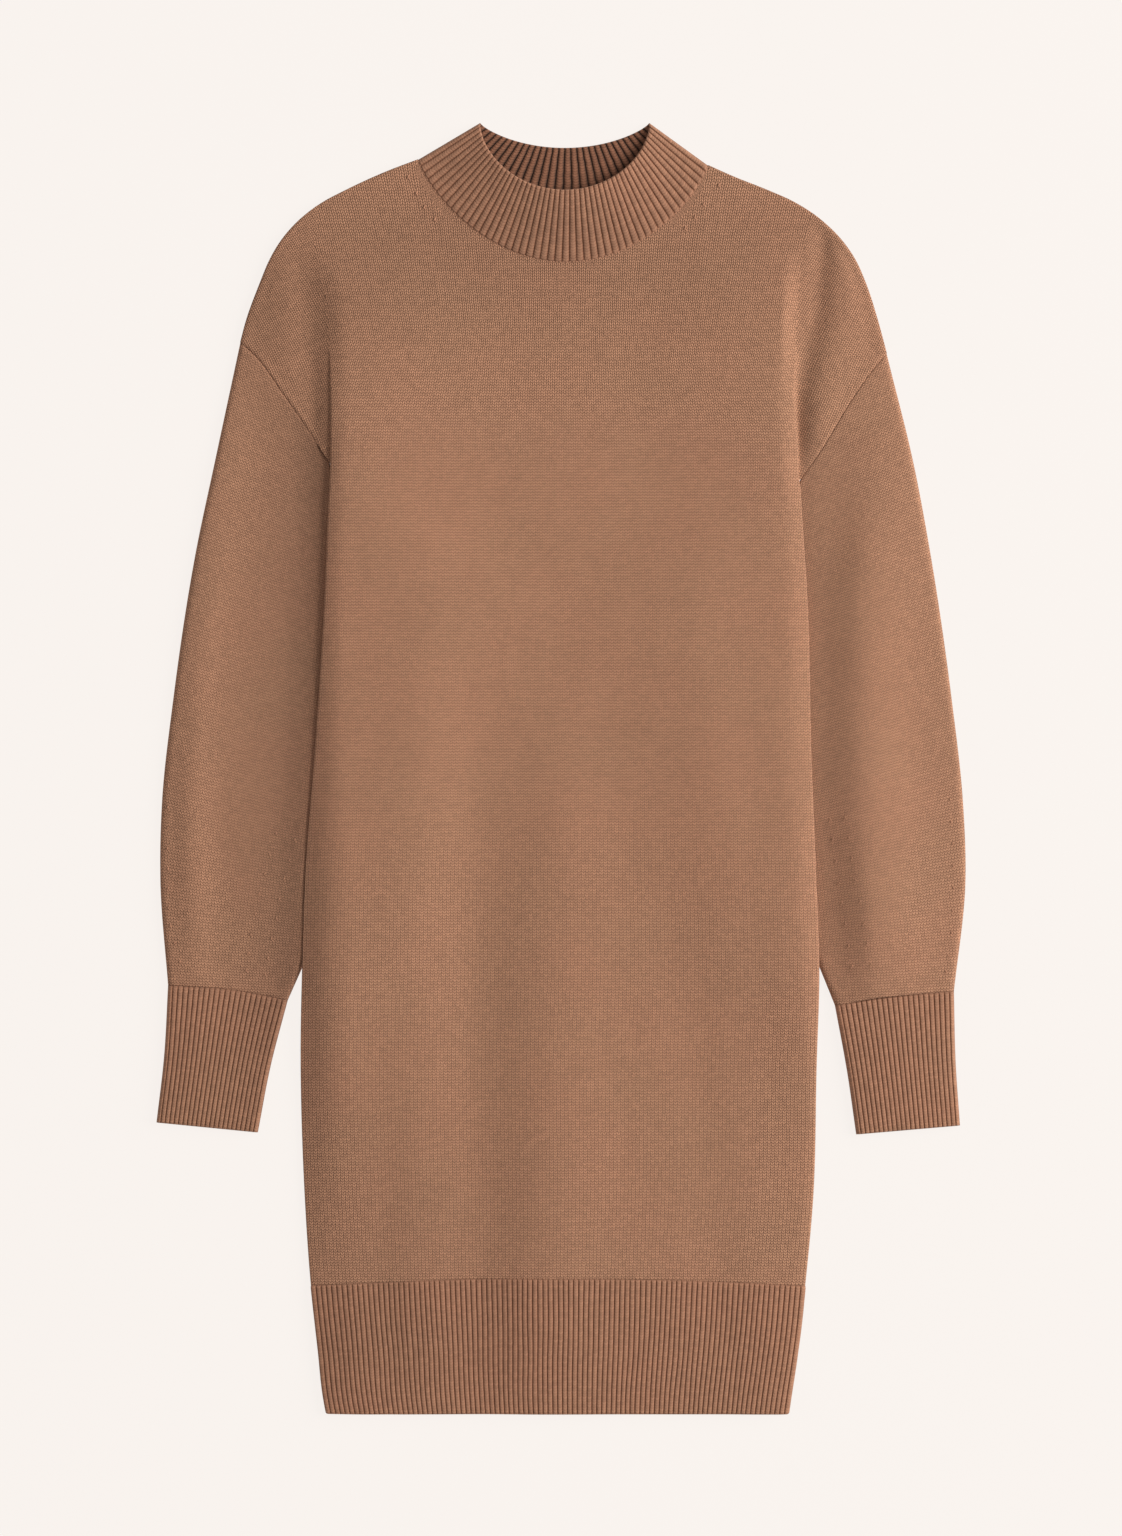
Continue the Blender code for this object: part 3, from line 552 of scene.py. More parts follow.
front = {
    "puff": 0.7,  # more air beside the rolled edges
    "puffReach": 30,
    # up, width of the rolled edge, the share of its height that rolls gently
    "roll": ([(0, 40, 0.5), (90, 40, 0.6), (150, 40, 0.8), (250, 36, 1), (373, 34, 1), (457, 22, 0.78),
              (541, 15, 0.55), (583, 13, 0.45), (900, 13, 0.42)],
             [(0, 9, 0.24), (250, 9, 0.22), (310, 15, 0.5), (373, 17, 0.65), (457, 22, 0.7),
              (541, 17, 0.8), (600, 15, 0.7), (640, 14, 0.65), (900, 13, 0.6)]),
    "rollEdge": 0.7,
    "middleRamp": 110,  # width over which the lift by the sleeves falls, on the body
    "bulge": 5.2,  # how high the body stands beside the shoulders' tucks
    "bulgeTop": 828,
    "bulgeFade": 50,
    "bulgeRamp": 130,
    # a soft crest beside each rolled edge: up, height
    "crest": ([(0, 0), (150, 0), (260, 1.2), (400, 1.4), (500, 0.6), (700, 0.5), (816, 0)],
              [(0, 0), (270, 0), (340, 0.2), (620, 0.2), (700, 0)]),
    "crestInset": 15,
    "crestWidth": (14, 36),  # outwards, inwards
    "crisp": ((712, 748), (705, 750)),  # up: a tuck is a sharp fold below, and opens out softly above
    "softReach": (17, 2),  # how far the open tucks go on past the fold
    "softWidth": (13, 11),
    "softTop": (850, 40),  # up: where they end, and the height over which they fade
    # up, how much higher the fold itself lies, and how far that goes on: on the shoulder, on the body
    "tuckLift": ([(600, 0), (665, 2.4), (700, 3.6), (722, 3), (750, 0)],
                 [(600, 0), (655, 0.6), (680, 2), (705, 2.2), (730, 1), (750, 0)]),
    "tuckFall": (13, 1.2),
    "tuckSpread": 30,
    "unevenness": 0.15,
    # a crest and a dip beside each tuck, on the shoulder: height, up and distance from the fold, width
    "shoulderCrest": (1, 1.8),
    "shoulderCrestAt": ([(700, 26), (800, 26)], [(680, 17), (720, 23), (770, 33)]),
    "shoulderCrestWidth": 16,
    "shoulderDip": (0.3, 2),
    "shoulderDipAt": ([(700, 17), (800, 17)], [(690, 2), (720, 6), (770, 14)]),
    "shoulderDipWidth": 8,
    "seamRidge": (0.35, 2.6, 1.3),  # along the armhole's seam: height, distance from it, width
    "edgeDrop": 0.5,
}


def softTuck(fromEdge, up, side):
    reach, width = front["softReach"][side], front["softWidth"][side]
    top, fade = front["softTop"]
    return eased((fromEdge + reach * eased((top - up) / fade)) / (width + reach))


def crispTuck(up, side):
    low, high = front["crisp"][side]
    return eased((high - up) / (high - low))


def tuckShape(fromEdge, up, side):  # 0 at the fold's edge, 1 on the body
    rows = front["roll"][side]
    gentle = 1 - (1 - np.clip(fromEdge / readLine(rows, 1, up), 0, 1)) ** 2
    crisp = mix(rounded(fromEdge / front["rollEdge"]), gentle, readLine(rows, 2, up))
    return mix(softTuck(fromEdge, up, side), crisp, crispTuck(up, side))


def frontFaces(plan, climbed, held, wall):
    x, up = plan[..., 0], plan[..., 1]
    fromLeft, fromRight = x - plan[:, :1, 0], plan[:, -1:, 0] - x
    inset = np.minimum(fromLeft, fromRight)
    facingUp = np.sqrt(1 - np.clip(climbed, 0, 1) ** 2)
    edge = lifted(x, up, climbed, dress["overRamp"]) + dress["wall"] + dress["seamGap"] + wall * facingUp
    edge = edge + (dress["seamAir"] - dress["seamGap"]) * (1 - climbed)
    beyond = np.clip(inset - dress["roll"], 0, None) / front["puffReach"]
    air = dress["seamAir"] + held * (dress["slack"] + front["puff"] * np.exp(-beyond * beyond))
    uneven = softNoise(x, up, 34, 3) + 0.5 * softNoise(x + 7, up, 15, 5)
    forms = foldHeight(x, up) + front["unevenness"] * uneven
    full = lifted(x, up, climbed, front["middleRamp"]) + dress["wall"] + air + dress["wall"] + held * forms
    bulge = front["bulge"] * (1 - climbed) * eased((front["bulgeTop"] - up) / front["bulgeFade"])
    full = full + bulge * eased(1 - inset / front["bulgeRamp"])
    for side, fromEdge in enumerate((fromLeft, fromRight)):
        lift = (1 - climbed) * readLine(front["tuckLift"][side], 1, up)
        edge = edge + lift * np.exp(-(fromEdge / front["tuckSpread"]) ** 2)
        near = fromEdge - front["crestInset"]
        near = near / np.where(near < 0, *front["crestWidth"])
        full = full + readLine(front["crest"][side], 1, up) * np.exp(-near * near)
    height = mix(edge, full, np.minimum(tuckShape(fromLeft, up, 0), tuckShape(fromRight, up, 1)))
    outer = np.dstack([x, up, height])
    run = np.gradient(outer, axis=1)
    flat = np.hypot(run[..., 0], run[..., 1])
    facing = np.dstack([-run[..., 0] * run[..., 2] / flat, -run[..., 1] * run[..., 2] / flat, flat])
    facing /= np.linalg.norm(facing, axis=-1, keepdims=True)
    outwards = np.concatenate([-climbed, 0 * climbed, facingUp], 1)
    facing[:, 0] = outwards
    facing[:, -1] = outwards * (-1, 1, 1)
    return outer, facing, full - edge


bodyKnit = {
    "wales": 137,
    "pitch": [(0, 1.9), (360, 1.92), (570, 2.04), (640, 2.02), (760, 1.9), (800, 1.9), (860, 1.98)],
    "fan": 0.00166,  # above the underarms the wales spread by this much for each millimetre
    "fanStart": 50,  # and the spread sets in over this height
    # the outer shoulders' wales lean inwards and run under the tucks: up, how far
    "lean": [(640, -66), (740, -25), (790, 3), (860, 52)],
    "outerWales": (55.5, 158, 3.3),  # their first one, how far out it is, and their pitch
    "droop": (142, 0.55, 22),  # how far out the courses turn down, how much, and over what width
}


def courseCount(up):  # courses from the hem's edge up to a height
    heights = np.arange(-20.0, 942, 2)
    return np.interp(up, heights, np.cumsum(2 / readLine(bodyKnit["pitch"], 1, heights)))


def bodySides(up):
    level = np.minimum(up, dress["underarm"])
    return readColumn(sideEdges, 1, level), readColumn(sideEdges, 2, level)


def bodyStitches(points):
    x, up = points[..., 0], points[..., 1]
    left, right = bodySides(up)
    above = np.clip(up - dress["underarm"], 0, None)
    start = bodyKnit["fanStart"]
    t = np.clip(above / start, 0, 1)
    spread = np.exp(-bodyKnit["fan"] * (start * (t ** 3 - t ** 4 / 2) + np.clip(above - start, 0, None)))
    share = (x - (left + right) / 2) * spread / (right - left) + 0.5
    return np.dstack([share * bodyKnit["wales"], courseCount(up)])


def shoulderStitches(points):
    x, up = points[..., 0], points[..., 1]
    off = x - sum(bodySides(up)) / 2
    first, reach, pitch = bodyKnit["outerWales"]
    lean = readLine(bodyKnit["lean"], 1, up)
    wale = bodyKnit["wales"] / 2 + np.sign(off) * (first + (np.abs(off) - lean - reach) / pitch)
    begin, droop, width = bodyKnit["droop"]
    turned = np.clip(np.abs(off) - begin, 0, None)
    return np.dstack([wale, courseCount(up + droop * turned ** 2 / (turned + width))])


def climbAndHold():  # 1 where the body's sides may lie on a sleeve, and where the front has slack
    climbed = np.r_[eased((1 - lowerRows) / dress["overEnd"]), 0 * upperRows[1:]]
    held = np.r_[np.ones(len(lowerRows)), eased(1 - upperRows[1:] / dress["airEnd"])]
    return climbed[:, None], held[:, None]


def shoulderHeight(side, fold, width, up, step, share, rimHeight, drop):
    # between the tuck and the armhole; each form fades where the shoulder is too narrow for it
    out = share * width
    crisp = crispTuck(fold[:, 1], side)
    soft = softTuck(-out, up, side) - softTuck(0 * out, up, side)
    lift = readLine(front["tuckLift"][side], 1, fold[:, 1])
    crestOff = (out - readLine(front["shoulderCrestAt"][side], 1, up)) / front["shoulderCrestWidth"]
    dipOff = (out - readLine(front["shoulderDipAt"][side], 1, up)) / front["shoulderDipWidth"]
    swell = front["shoulderCrest"][side] * np.exp(-crestOff ** 2) * eased(width / 45) * eased(out / 8)
    dip = front["shoulderDip"][side] * np.exp(-dipOff ** 2)
    dip = dip * eased(width / 25) * eased(out / mix(5.0, 1.2, crisp))
    ridge, inset, thick = front["seamRidge"]
    ridge = ridge * np.exp(-(((1 - share) * width - inset) / thick) ** 2)
    level = mix(fold[:, 2] - lift * (width > 1), rimHeight, share)
    level = level + lift * (1 - eased(out / front["tuckFall"][side]))
    level = level + step * (1 - crisp) * soft * (1 - share)
    level = level + eased((width - out) / 16) * (swell - dip) + ridge * eased(width / 20)
    level = level - drop * (1 - rounded((1 - share) * width / 1.8)) * np.minimum(width / 10, 1)
    return mix(fold[:, 2], level, eased(width / 12))


def withShoulders(middle, rimHeight, step=None, drop=0):
    first = len(lowerRows) - 1
    blocks = []
    for side, (column, rim) in enumerate(zip((0, -1), shoulderRims())):
        block = np.repeat(middle[:, [column]], len(shoulderShares), axis=1)
        fold = middle[first:, column]
        edge = np.column_stack([rim, np.full(len(rim), rimHeight)])
        edge[0] = fold[0]
        width = np.linalg.norm((edge - fold)[:, :2], axis=1)
        for i, share in enumerate(shoulderShares):
            block[first:, i] = mix(fold, edge, share)
            if step is not None:
                block[first:, i, 2] = shoulderHeight(
                    side, fold, width, edge[:, 1], step[first:, column], share, rimHeight, drop)
        blocks.append(block)
    return np.concatenate([blocks[0], middle, blocks[1][:, ::-1]], 1)


def shareVertices(rows, columns):
    index = np.arange(rows * columns).reshape(rows, columns).copy()
    last = len(lowerRows)
    side = len(shoulderShares)
    index[:last, :side] = index[:last, side][:, None]
    index[:last, -side:] = index[:last, -side - 1][:, None]
    return index


def awayFromRow(grid, row):
    return np.linalg.norm(grid - grid[row], axis=-1)


def neckBands(outer):  # beside the neck the last stitches follow the neckline
    fromNeck = awayFromRow(outer[..., :2], -1)
    arc = np.r_[0, np.cumsum(stepsOf(outer[-1, :, :2]))]
    followed = np.dstack([fromNeck / neck["bandWale"], np.tile(arc / neck["bandCourse"], (len(outer), 1))])
    beside, along = neck["frontColumns"]
    columns = np.arange(along) + len(shoulderShares) + beside
    across = outer[-1, columns, 0] - neck["middle"]
    low, high = neck["bandEnds"]
    return [(np.s_[-neck["bandRows"]:, band[0]:band[-1]], followed)
            for band in (columns[across < low], columns[across > high])]


def makeFront():
    plan = bodyPlan(neck["drop"][0], neck["frontColumns"])
    outer, facing, step = frontFaces(plan, *climbAndHold(), dress["wall"])
    inner = outer - facing * dress["wall"]
    nearHem, nearNeck = (rounded(awayFromRow(plan, row) / 1.6) for row in (0, -1))
    outer[..., 2] -= front["edgeDrop"] * (0.6 - 0.4 * nearHem - 0.2 * nearNeck)
    inside = dress["wall"] + dress["seamAir"]
    outer = withShoulders(outer, inside + dress["wall"], step, front["edgeDrop"])
    inner = withShoulders(inner, inside, step)
    beyond = shoulderStitches(outer)
    side = len(shoulderShares)
    patches = [(np.s_[:, :side], beyond), (np.s_[:, -side:], beyond)] + neckBands(outer)
    piece = clothPiece("frontPanel", outer, inner, bodyStitches(outer), plainYarn,
                       same=shareVertices(*outer.shape[:2]), patches=patches)
    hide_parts("body_front")
    return piece, outer


def makeBack():
    plan = bodyPlan(neck["drop"][1], neck["backColumns"])
    climbed = climbAndHold()[0]
    under = np.dstack([plan, lifted(plan[..., 0], plan[..., 1], climbed, dress["overRamp"])])
    top = withShoulders(under + (0, 0, dress["wall"]), dress["wall"])
    under = withShoulders(under, 0)
    piece = clothPiece("backPanel", top, under, bodyStitches(top), plainYarn,
                       same=shareVertices(*top.shape[:2]))
    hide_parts("body_back")
    return piece


frontPanel, frontTop = makeFront()
print("front panel made")
backPanel = makeBack()
print("back panel made")

ribs = {
    "hem": 96, "cuff": 23, "collar": (50, 30),  # how many
    "phases": np.array([0, 0.05, 0.11, 0.22, 0.5, 0.78, 0.89, 0.95]),  # where a rib's points are
    "rise": 0.95, "unevenness": 0.12,
    "start": 2.4, "end": 1.6,  # how fast a rib rises at its two ends
    # how far the cloth's edge is rounded down there, and over what length
    "startDrop": 0.2, "startRound": 1.5, "endDrop": 0.7, "collarEndDrop": 0.8, "endRound": 1.8,
    "course": 1.9,
    "cuffFrom": 100,  # a cuff's courses are counted from here
    "cuffPuff": 1.4,  # how much a cuff's upper half stands up in its middle
    "hemSway": (0.35, 3, 28),  # how far the hem's ribs sway, how many together, and how soon again
    "underLevel": 0.9, "underRise": 0.75,  # ribs that face the table
}
ribRows = np.r_[0, 0.006, 0.015, 0.03, 0.05, np.linspace(0.08, 0.96, 20), 0.975, 0.986, 0.994, 1]


def ribShares(count):
    return np.r_[(np.arange(count)[:, None] + ribs["phases"]).ravel(), count] / count


def ribRise(plan, count, shares, seed, squareness=4, endDrop=ribs["endDrop"]):
    # how far the ribs stand out, how far their ends are rounded down, and the way along them
    one = (1 - np.abs(2 * ribs["phases"] - 1) ** squareness) ** 0.8
    along = awayFromRow(plan, 0)
    fromEnd = along[-1:] - along
    rise = np.r_[np.tile(one, count), 0] * rounded(along / ribs["start"]) * rounded(fromEnd / ribs["end"])
    uneven = ribs["unevenness"] * softNoise(shares[None] * count, along / 9, 1.0, seed)
    rise = rise * (ribs["rise"] + uneven)
    drop = ribs["startDrop"] * (1 - rounded(along / ribs["startRound"]))
    drop = drop + endDrop * (1 - rounded(fromEnd / ribs["endRound"]))
    return rise, drop, along


def ribUnder(rise):
    return ribs["underLevel"] - ribs["underRise"] * rise


def ribStitches(count, shares, along):
    return np.dstack([shares * count + 0 * along, along / ribs["course"]])


def hemPlan():
    shares, down = ribShares(ribs["hem"]), ribRows[:, None]
    ends = mix(dress["hemSeam"], 0, down)
    left, right = bodySides(ends)
    up = ends + dress["hemBow"] * crown(shares) * (1 - down)
    return shares, np.dstack([mix(left, right, shares + 0 * down), up])


def makeHemFront():
    shares, plan = hemPlan()
    whole = np.ones((len(ribRows), 1))
    valley, facing = frontFaces(plan, whole, whole, dress["ribWall"])[:2]
    inner = valley - facing * dress["ribWall"]
    rise, drop, along = ribRise(plan, ribs["hem"], shares, 4)
    outer = valley + facing * (rise - drop)[..., None]
    sway, together, length = ribs["hemSway"]
    sway = sway * softNoise(shares[None] * ribs["hem"] / together, along / length, 1.0, 9)
    outer[..., 0] += sway * crown(shares) ** 0.25
    stitches = ribStitches(ribs["hem"], shares, dress["hemSeam"] - along)
    piece = clothPiece("hemRibFront", outer, inner, stitches, ribYarn)
    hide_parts("hem_rib_front")
    return piece


def makeHemBack():
    shares, plan = hemPlan()
    rise, _, along = ribRise(plan, ribs["hem"], shares, 6)
    under = np.dstack([plan, ribUnder(rise)])
    top = np.dstack([plan, np.full(plan.shape[:2], dress["wall"])])
    stitches = ribStitches(ribs["hem"], shares, dress["hemSeam"] - along)
    piece = clothPiece("hemRibBack", top, under, stitches, ribYarn)
    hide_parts("hem_rib_back")
    return piece


hemRibFront, hemRibBack = makeHemFront(), makeHemBack()
print("hem ribs made")


def roundTube(upper, lower):  # a row all round a tube: over its upper half and back along its lower
    return np.concatenate([lower[:1], upper[1:-1], lower[:0:-1]])


def flatTube(name, halves, shares, tops, wall, rounds, rises, stitches, material, lining=None,
             beside=None):
    # tops is how high the upper half's inside lies, rounds how widely each half turns at the sides,
    # and rises says, for (half, inside), how far that face stands off
    widths = np.linalg.norm(np.diff(halves[0], axis=1), axis=2).sum(1)
    walls = []
    for within in (0, 1):
        rows = []
        for i, width in enumerate(widths):
            inset = within * wall / width
            row = []
            for half, share in enumerate(shares):
                level = tops[i] + wall * (1 - within) if half == 0 else wall * within + 0 * share
                edge = rounded(np.minimum(share, 1 - share) * width / rounds[half])
                height = mix((wall + tops[i, 0]) / 2, level, edge)
                if (half, within) in rises:
                    height = height + rises[half, within][i] * edge
                at = mix(inset, 1 - inset, share)
                x, up = (np.interp(at, share, halves[half][i, :, part]) for part in (0, 1))
                row.append(np.column_stack([x, up, height]))
            rows.append(roundTube(*row))
        walls.append(np.array(rows))
    maps = np.array([roundTube(*row) for row in zip(*stitches)])
    piece = clothPiece(name, *walls, maps, material, ring=True, lining=lining, beside=beside)
    return piece, walls[0][:, :len(shares[0])]


sleeveSides = {
    "left": {
        "side": 0, "sign": -1,
        "outer": [(-224.8, 750.9), (-242.6, 667.6), (-255.9, 604.6), (-272, 499.6),
                  (-279.7, 429.6), (-280.9, 373), (-275.5, 300.1)],
        "inner": [(-107.5, 562), (-113, 500), (-133, 430), (-158, 366), (-191.6, 289.6)],
        "underarm": [(-151, 618), (-132, 596), (-107.5, 562)],
        "seam": [(-275.5, 300.1), (-242.1, 298.3), (-216, 294.8), (-191.6, 289.6)],
        # a long soft ridge: up, distance from the middle, height, width outwards, inwards
        "ridge": [(290, 255.5, 0.6, 13, 12), (350, 257.5, 1.9, 12, 12), (410, 259.5, 2.2, 12, 12),
                  (470, 258, 2.2, 13, 13), (530, 253, 2, 14, 13), (590, 246, 1.7, 15, 14),
                  (650, 238, 1.4, 16, 14), (710, 226, 0.6, 15, 14), (770, 215, 0, 14, 14)],
        # painted shadow of the body, with a painted light line at its edge: distance from the body's edge,
        # how light it is
        "paintedShadeBeside": [(0, 1.2), (2, 1), (4, 0.84), (9, 0.74), (16, 0.75), (24, 0.82), (32, 0.87),
                   (45, 0.94), (60, 1)],
        "besideBody": (2, 12),  # how high it is pushed up there, and how far out
        # its two sides: share of the way down, then (across, up) of the outer one and the inner one
        "cuff": [(0, -275.5, 300.1, -191.6, 289.6), (0.45, -278, 254, -203, 246),
                 (1, -283.6, 204.2, -212.5, 197.2)],
    },
    "right": {
        "side": 1, "sign": 1,
        "outer": [(228.3, 743.2), (246.8, 667.6), (258.7, 604.6), (274.1, 499.6),
                  (281.8, 429.6), (283.6, 373), (275.5, 295.9)],
        "inner": [(111.5, 552), (117, 500), (136, 430), (160, 366), (192, 286.1)],
        "underarm": [(156, 608), (136, 585), (111.5, 552)],
        "seam": [(275.5, 295.9), (246.1, 294), (219.9, 291.3), (192, 286.1)],
        "ridge": [(290, 220, 2.8, 36, 20), (350, 216.5, 7, 36, 21), (410, 213, 7, 34, 23),
                  (470, 211, 6.5, 32, 24), (530, 211, 6.2, 32, 22), (590, 213.5, 5, 34, 22),
                  (650, 223, 3, 36, 22), (710, 227, 0.2, 36, 22), (770, 228, 0, 36, 22)],
        # painted shade on the yarn beside the body
        "paintedShadeBeside": [(0, 0.94), (32, 0.94), (48, 1)],
        "besideBody": (0, 12),
        "cuff": [(0, 275.5, 295.9, 192, 286.1), (0.45, 276.5, 251, 200, 243),
                 (1, 279.7, 202.1, 206.9, 195.8)],
    },
}
sleeveKnit = {
    # columns of the mesh: how far the close ones are from each side, and where the even ones begin
    "nearSides": (0, 0.5, 1.2, 2.2, 3.6, 5.5, 8, 11), "insideFrom": 14,
    "unevenness": 0.25, "unevenSize": 24,
    "unevenFrom": (184, 10),  # it sets in this far out, over this width
    "wale": 2.3, "course": 1.92,
    "lean": [(300, 0.105), (700, 0.19)],  # up, how far the wales lean for each millimetre
    "middle": [(300, 233), (430, 228), (700, 212)],  # up, distance from the body's middle
    # up, how steeply the courses rise across the sleeve
    "slope": [(280, 0.03), (330, 0.08), (380, 0.18), (430, 0.25), (500, 0.28), (570, 0.33),
              (632, 0.42), (700, 0.57), (770, 0.62)],
}
sleeveRows = np.r_[0, 0.0015, 0.004, 0.008, np.linspace(0.014, 0.988, 128), 0.993, 0.997, 1]


def sleeveStitches(points, sign):
    out, up = sign * points[..., 0], points[..., 1]
    heights = np.arange(180.0, 785, 5)
    carried = np.interp(up, heights, np.cumsum(readLine(sleeveKnit["lean"], 1, heights)) * 5)
    middle = readLine(sleeveKnit["middle"], 1, up)
    at = up
    for _ in range(4):
        at = up - (out - middle) * readLine(sleeveKnit["slope"], 1, at)
    return np.stack([(out + carried) / sleeveKnit["wale"], at / sleeveKnit["course"]], -1)


def sleeveChain(data):
    # the sleeve's top end: down the armhole, beside the body, then under it
    armhole = alongCurve(armholes[data["side"]], np.linspace(1, 0, 31))
    beside = sidePoints(data["side"], np.array([0.978, 0.955]))
    return np.concatenate([armhole, beside, alongCurve(data["underarm"], np.linspace(0, 1, 12))])


def sleeveHeight(data, x, up):
    away, high, outwards, inwards = (readColumn(data["ridge"], part, up) for part in (1, 2, 3, 4))
    off = data["sign"] * x - away
    out = data["sign"] * (x - bodySides(up)[data["side"]])
    pushed, reach = data["besideBody"]
    pushed = pushed * np.exp(-np.abs(out) / np.where(out > 0, reach, 2)) * eased((700 - up) / 60)
    ridge = high * np.exp(-(off / np.where(off > 0, outwards, inwards)) ** 2)
    return dress["wall"] + dress["seamAir"] + ridge + pushed


def makeSleeve(side):
    data = sleeveSides[side]
    chain = sleeveChain(data)
    total = stepsOf(chain).sum()
    near = np.array(sleeveKnit["nearSides"]) / total
    inner = sleeveKnit["insideFrom"] / total
    share = np.unique(np.round(np.r_[near, np.linspace(inner, 1 - inner, 58), 1 - near], 9))
    grid = patchBetween(alongLine(chain, share), alongCurve(data["seam"], share),
                        alongCurve(data["outer"], sleeveRows), alongCurve(data["inner"], sleeveRows),
                        share, sleeveRows)
    x, up = grid[..., 0], grid[..., 1]
    fromTop, fromCuff = awayFromRow(grid, 0), awayFromRow(grid, -1)
    drop = front["edgeDrop"] * (1.5 - rounded(fromTop / 1.8) - 0.5 * rounded(fromCuff / 1.6))
    start, width = sleeveKnit["unevenFrom"]
    uneven = sleeveKnit["unevenness"] * softNoise(x, up, sleeveKnit["unevenSize"], 8) * eased(fromTop / 20)
    rise = uneven * eased((np.abs(x) - start) / width) - drop
    stitches = sleeveStitches(grid, data["sign"])
    # beside carries the painted shadow of the body on the sleeve's yarn
    piece, top = flatTube(
        "sleeve" + side.capitalize(), (grid, grid), (share, share), sleeveHeight(data, x, up),
        dress["wall"], (4.5, 3), {(0, 0): rise}, (stitches, stitches), plainYarn, beside=data)
    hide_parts("sleeve_" + side)
    return piece, top


def makeCuff(side):
    data = sleeveSides[side]
    share = ribShares(ribs["cuff"])
    outer, inner = (np.stack([readColumn(data["cuff"], part, ribRows) for part in parts], -1)
                    for parts in ((1, 2), (3, 4)))
    seam = alongCurve(data["seam"], share)
    bow = seam - mix(seam[:1], seam[-1:], share[:, None])
    grid = mix(outer[:, None], inner[:, None], share[None, :, None]) + bow * (1 - ribRows)[:, None, None]
    rise, drop, along = ribRise(grid, ribs["cuff"], share, 12)
    puff = ribs["cuffPuff"] * crown(ribRows)[:, None] ** 0.5
    tops = dress["ribWall"] + dress["seamAir"] + puff * crown(share)
    stitches = ribStitches(ribs["cuff"], share, ribs["cuffFrom"] - along)
    # the left cuff takes the painted shadow of the body too
    piece = flatTube(
        "cuff" + side.capitalize(), (grid, grid), (share, share), tops, dress["ribWall"], (3, 3),
        {(0, 0): rise - drop, (1, 0): ribUnder(rise)}, (stitches, stitches), ribYarn,
        beside=data if side == "left" else None)[0]
    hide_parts("cuff_" + side)
    return piece


sleeves = {side: makeSleeve(side) for side in sleeveSides}
print("sleeves made")
cuffs = {side: makeCuff(side) for side in sleeveSides}
print("cuffs made")

collar = {
    "rimMiddle": 2.6, "rimHalf": 59.3, "rimUp": 904.8, "rimDrop": (48.2, 17.4), "power": (0.55, 0.8),
    "air": 0.4, "open": 7.8,  # between the halves, at the seam and at the rim
}
collarRows = np.r_[0, 0.012, 0.03, 0.06, 0.1, np.linspace(0.15, 0.93, 16), 0.955, 0.975, 0.99, 1]


def makeCollar():
    t = -np.cos(np.linspace(0, np.pi, 161))
    shares, halves, rises, stitches = [], [], [], []
    for half, count in enumerate(ribs["collar"]):
        share = ribShares(count)
        fall = collar["rimDrop"][half] * np.clip(1 - t * t, 0, 1) ** collar["power"][half]
        rim = np.stack([collar["rimMiddle"] + collar["rimHalf"] * t, collar["rimUp"] - fall], -1)
        base = alongLine(neckCurve(neck["drop"][half], t), share)
        grid = mix(base[None], alongLine(rim, share)[None], collarRows[:, None, None])
        rise, drop, along = ribRise(grid, count, share, 21 + half, 2.2, ribs["collarEndDrop"])
        shares.append(share)
        halves.append(grid)
        rises.append(rise - drop if half == 0 else rise)
        stitches.append(ribStitches(count, share, along))
    opened = collar["open"] * collarRows[:, None] ** 1.5 * crown(shares[0]) ** 0.7
    # the collar's inside faces take the darker, painted-shade rib yarn
    piece = flatTube(
        "mockNeckCollar", halves, shares, dress["ribWall"] + collar["air"] + opened, dress["ribWall"],
        (3, 3), {(0, 0): rises[0], (1, 1): rises[1]}, stitches, ribYarn, shadedInsideYarn)[0]
    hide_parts("collar")
    return piece


mockNeck = makeCollar()
print("collar made")

# Single loops of yarn, joined into one mesh: linked seams and the marks left by fashioning
loops = {
    "around": 7, "along": 6,
    # the linked seam under the collar, and the angle that it leaves free at each end of the neck
    "chainPitch": 2.3, "chainThick": 0.85, "chainFree": 0.06,
    "neckMark": (3.6, 1.35), "sleeveMark": (2.5, 0.95),  # length, thickness
    "neckLean": 0.5, "sleeveLean": 0.6,
    # narrowings beside the neckline and down the sleeves, as (across, up)
    "neckMarks": [(-107.1, 866.4), (-101.4, 855.2), (-95.8, 845.4), (-88.5, 837),
                  (110.5, 860.8), (99.9, 847.5), (93.8, 838.4), (86.9, 830.7)],
    "sleeveMarks": {
        "left": [(-199.5, 406.7), (-204.2, 392.3), (-207.6, 378.3), (-211.4, 364.7), (-214, 350.3),
                 (-217.4, 335.9), (-219.5, 322.7), (-220.7, 310.8), (-186.4, 402.4), (-190.2, 388),
                 (-194, 374.9), (-197.4, 360.7), (-199.5, 347.1), (-202.9, 333.1), (-205.5, 319.3),
                 (-207.2, 307.9), (-275, 439.6), (-275.5, 425), (-275.6, 410.5), (-275.8, 396.2),
                 (-275.4, 382), (-275.2, 368.2), (-275, 354.6), (-273.8, 342), (-270.8, 330.2),
                 (-267, 317)],
        "right": [(188.6, 416.3), (190.3, 403), (192.6, 387.6), (194.7, 372.2), (196.7, 358.2),
                  (199, 343.5), (201.3, 328.1), (203.7, 314.1), (198.7, 417.7), (201.3, 403.7),
                  (203.4, 389.7), (205.9, 374.3), (209, 359.6), (211.7, 344.2), (214.1, 330.2),
                  (216.9, 315.6), (272.5, 430.3), (273.1, 414.9), (274.2, 399.5), (274.5, 384.1),
                  (274.8, 368.7), (274.2, 352.6), (273.4, 337.2), (271.3, 321.1), (269.5, 309.9)],
    },
}


def surfaceHeight(grid, spots):
    points = grid.reshape(-1, 3)
    away = ((points[None, :, :2] - spots[:, None]) ** 2).sum(-1)
    nearest = np.argsort(away, axis=1)[:, :4]
    weight = 1 / (np.take_along_axis(away, nearest, 1) + 0.05)
    return (points[nearest, 2] * weight).sum(1) / weight.sum(1)


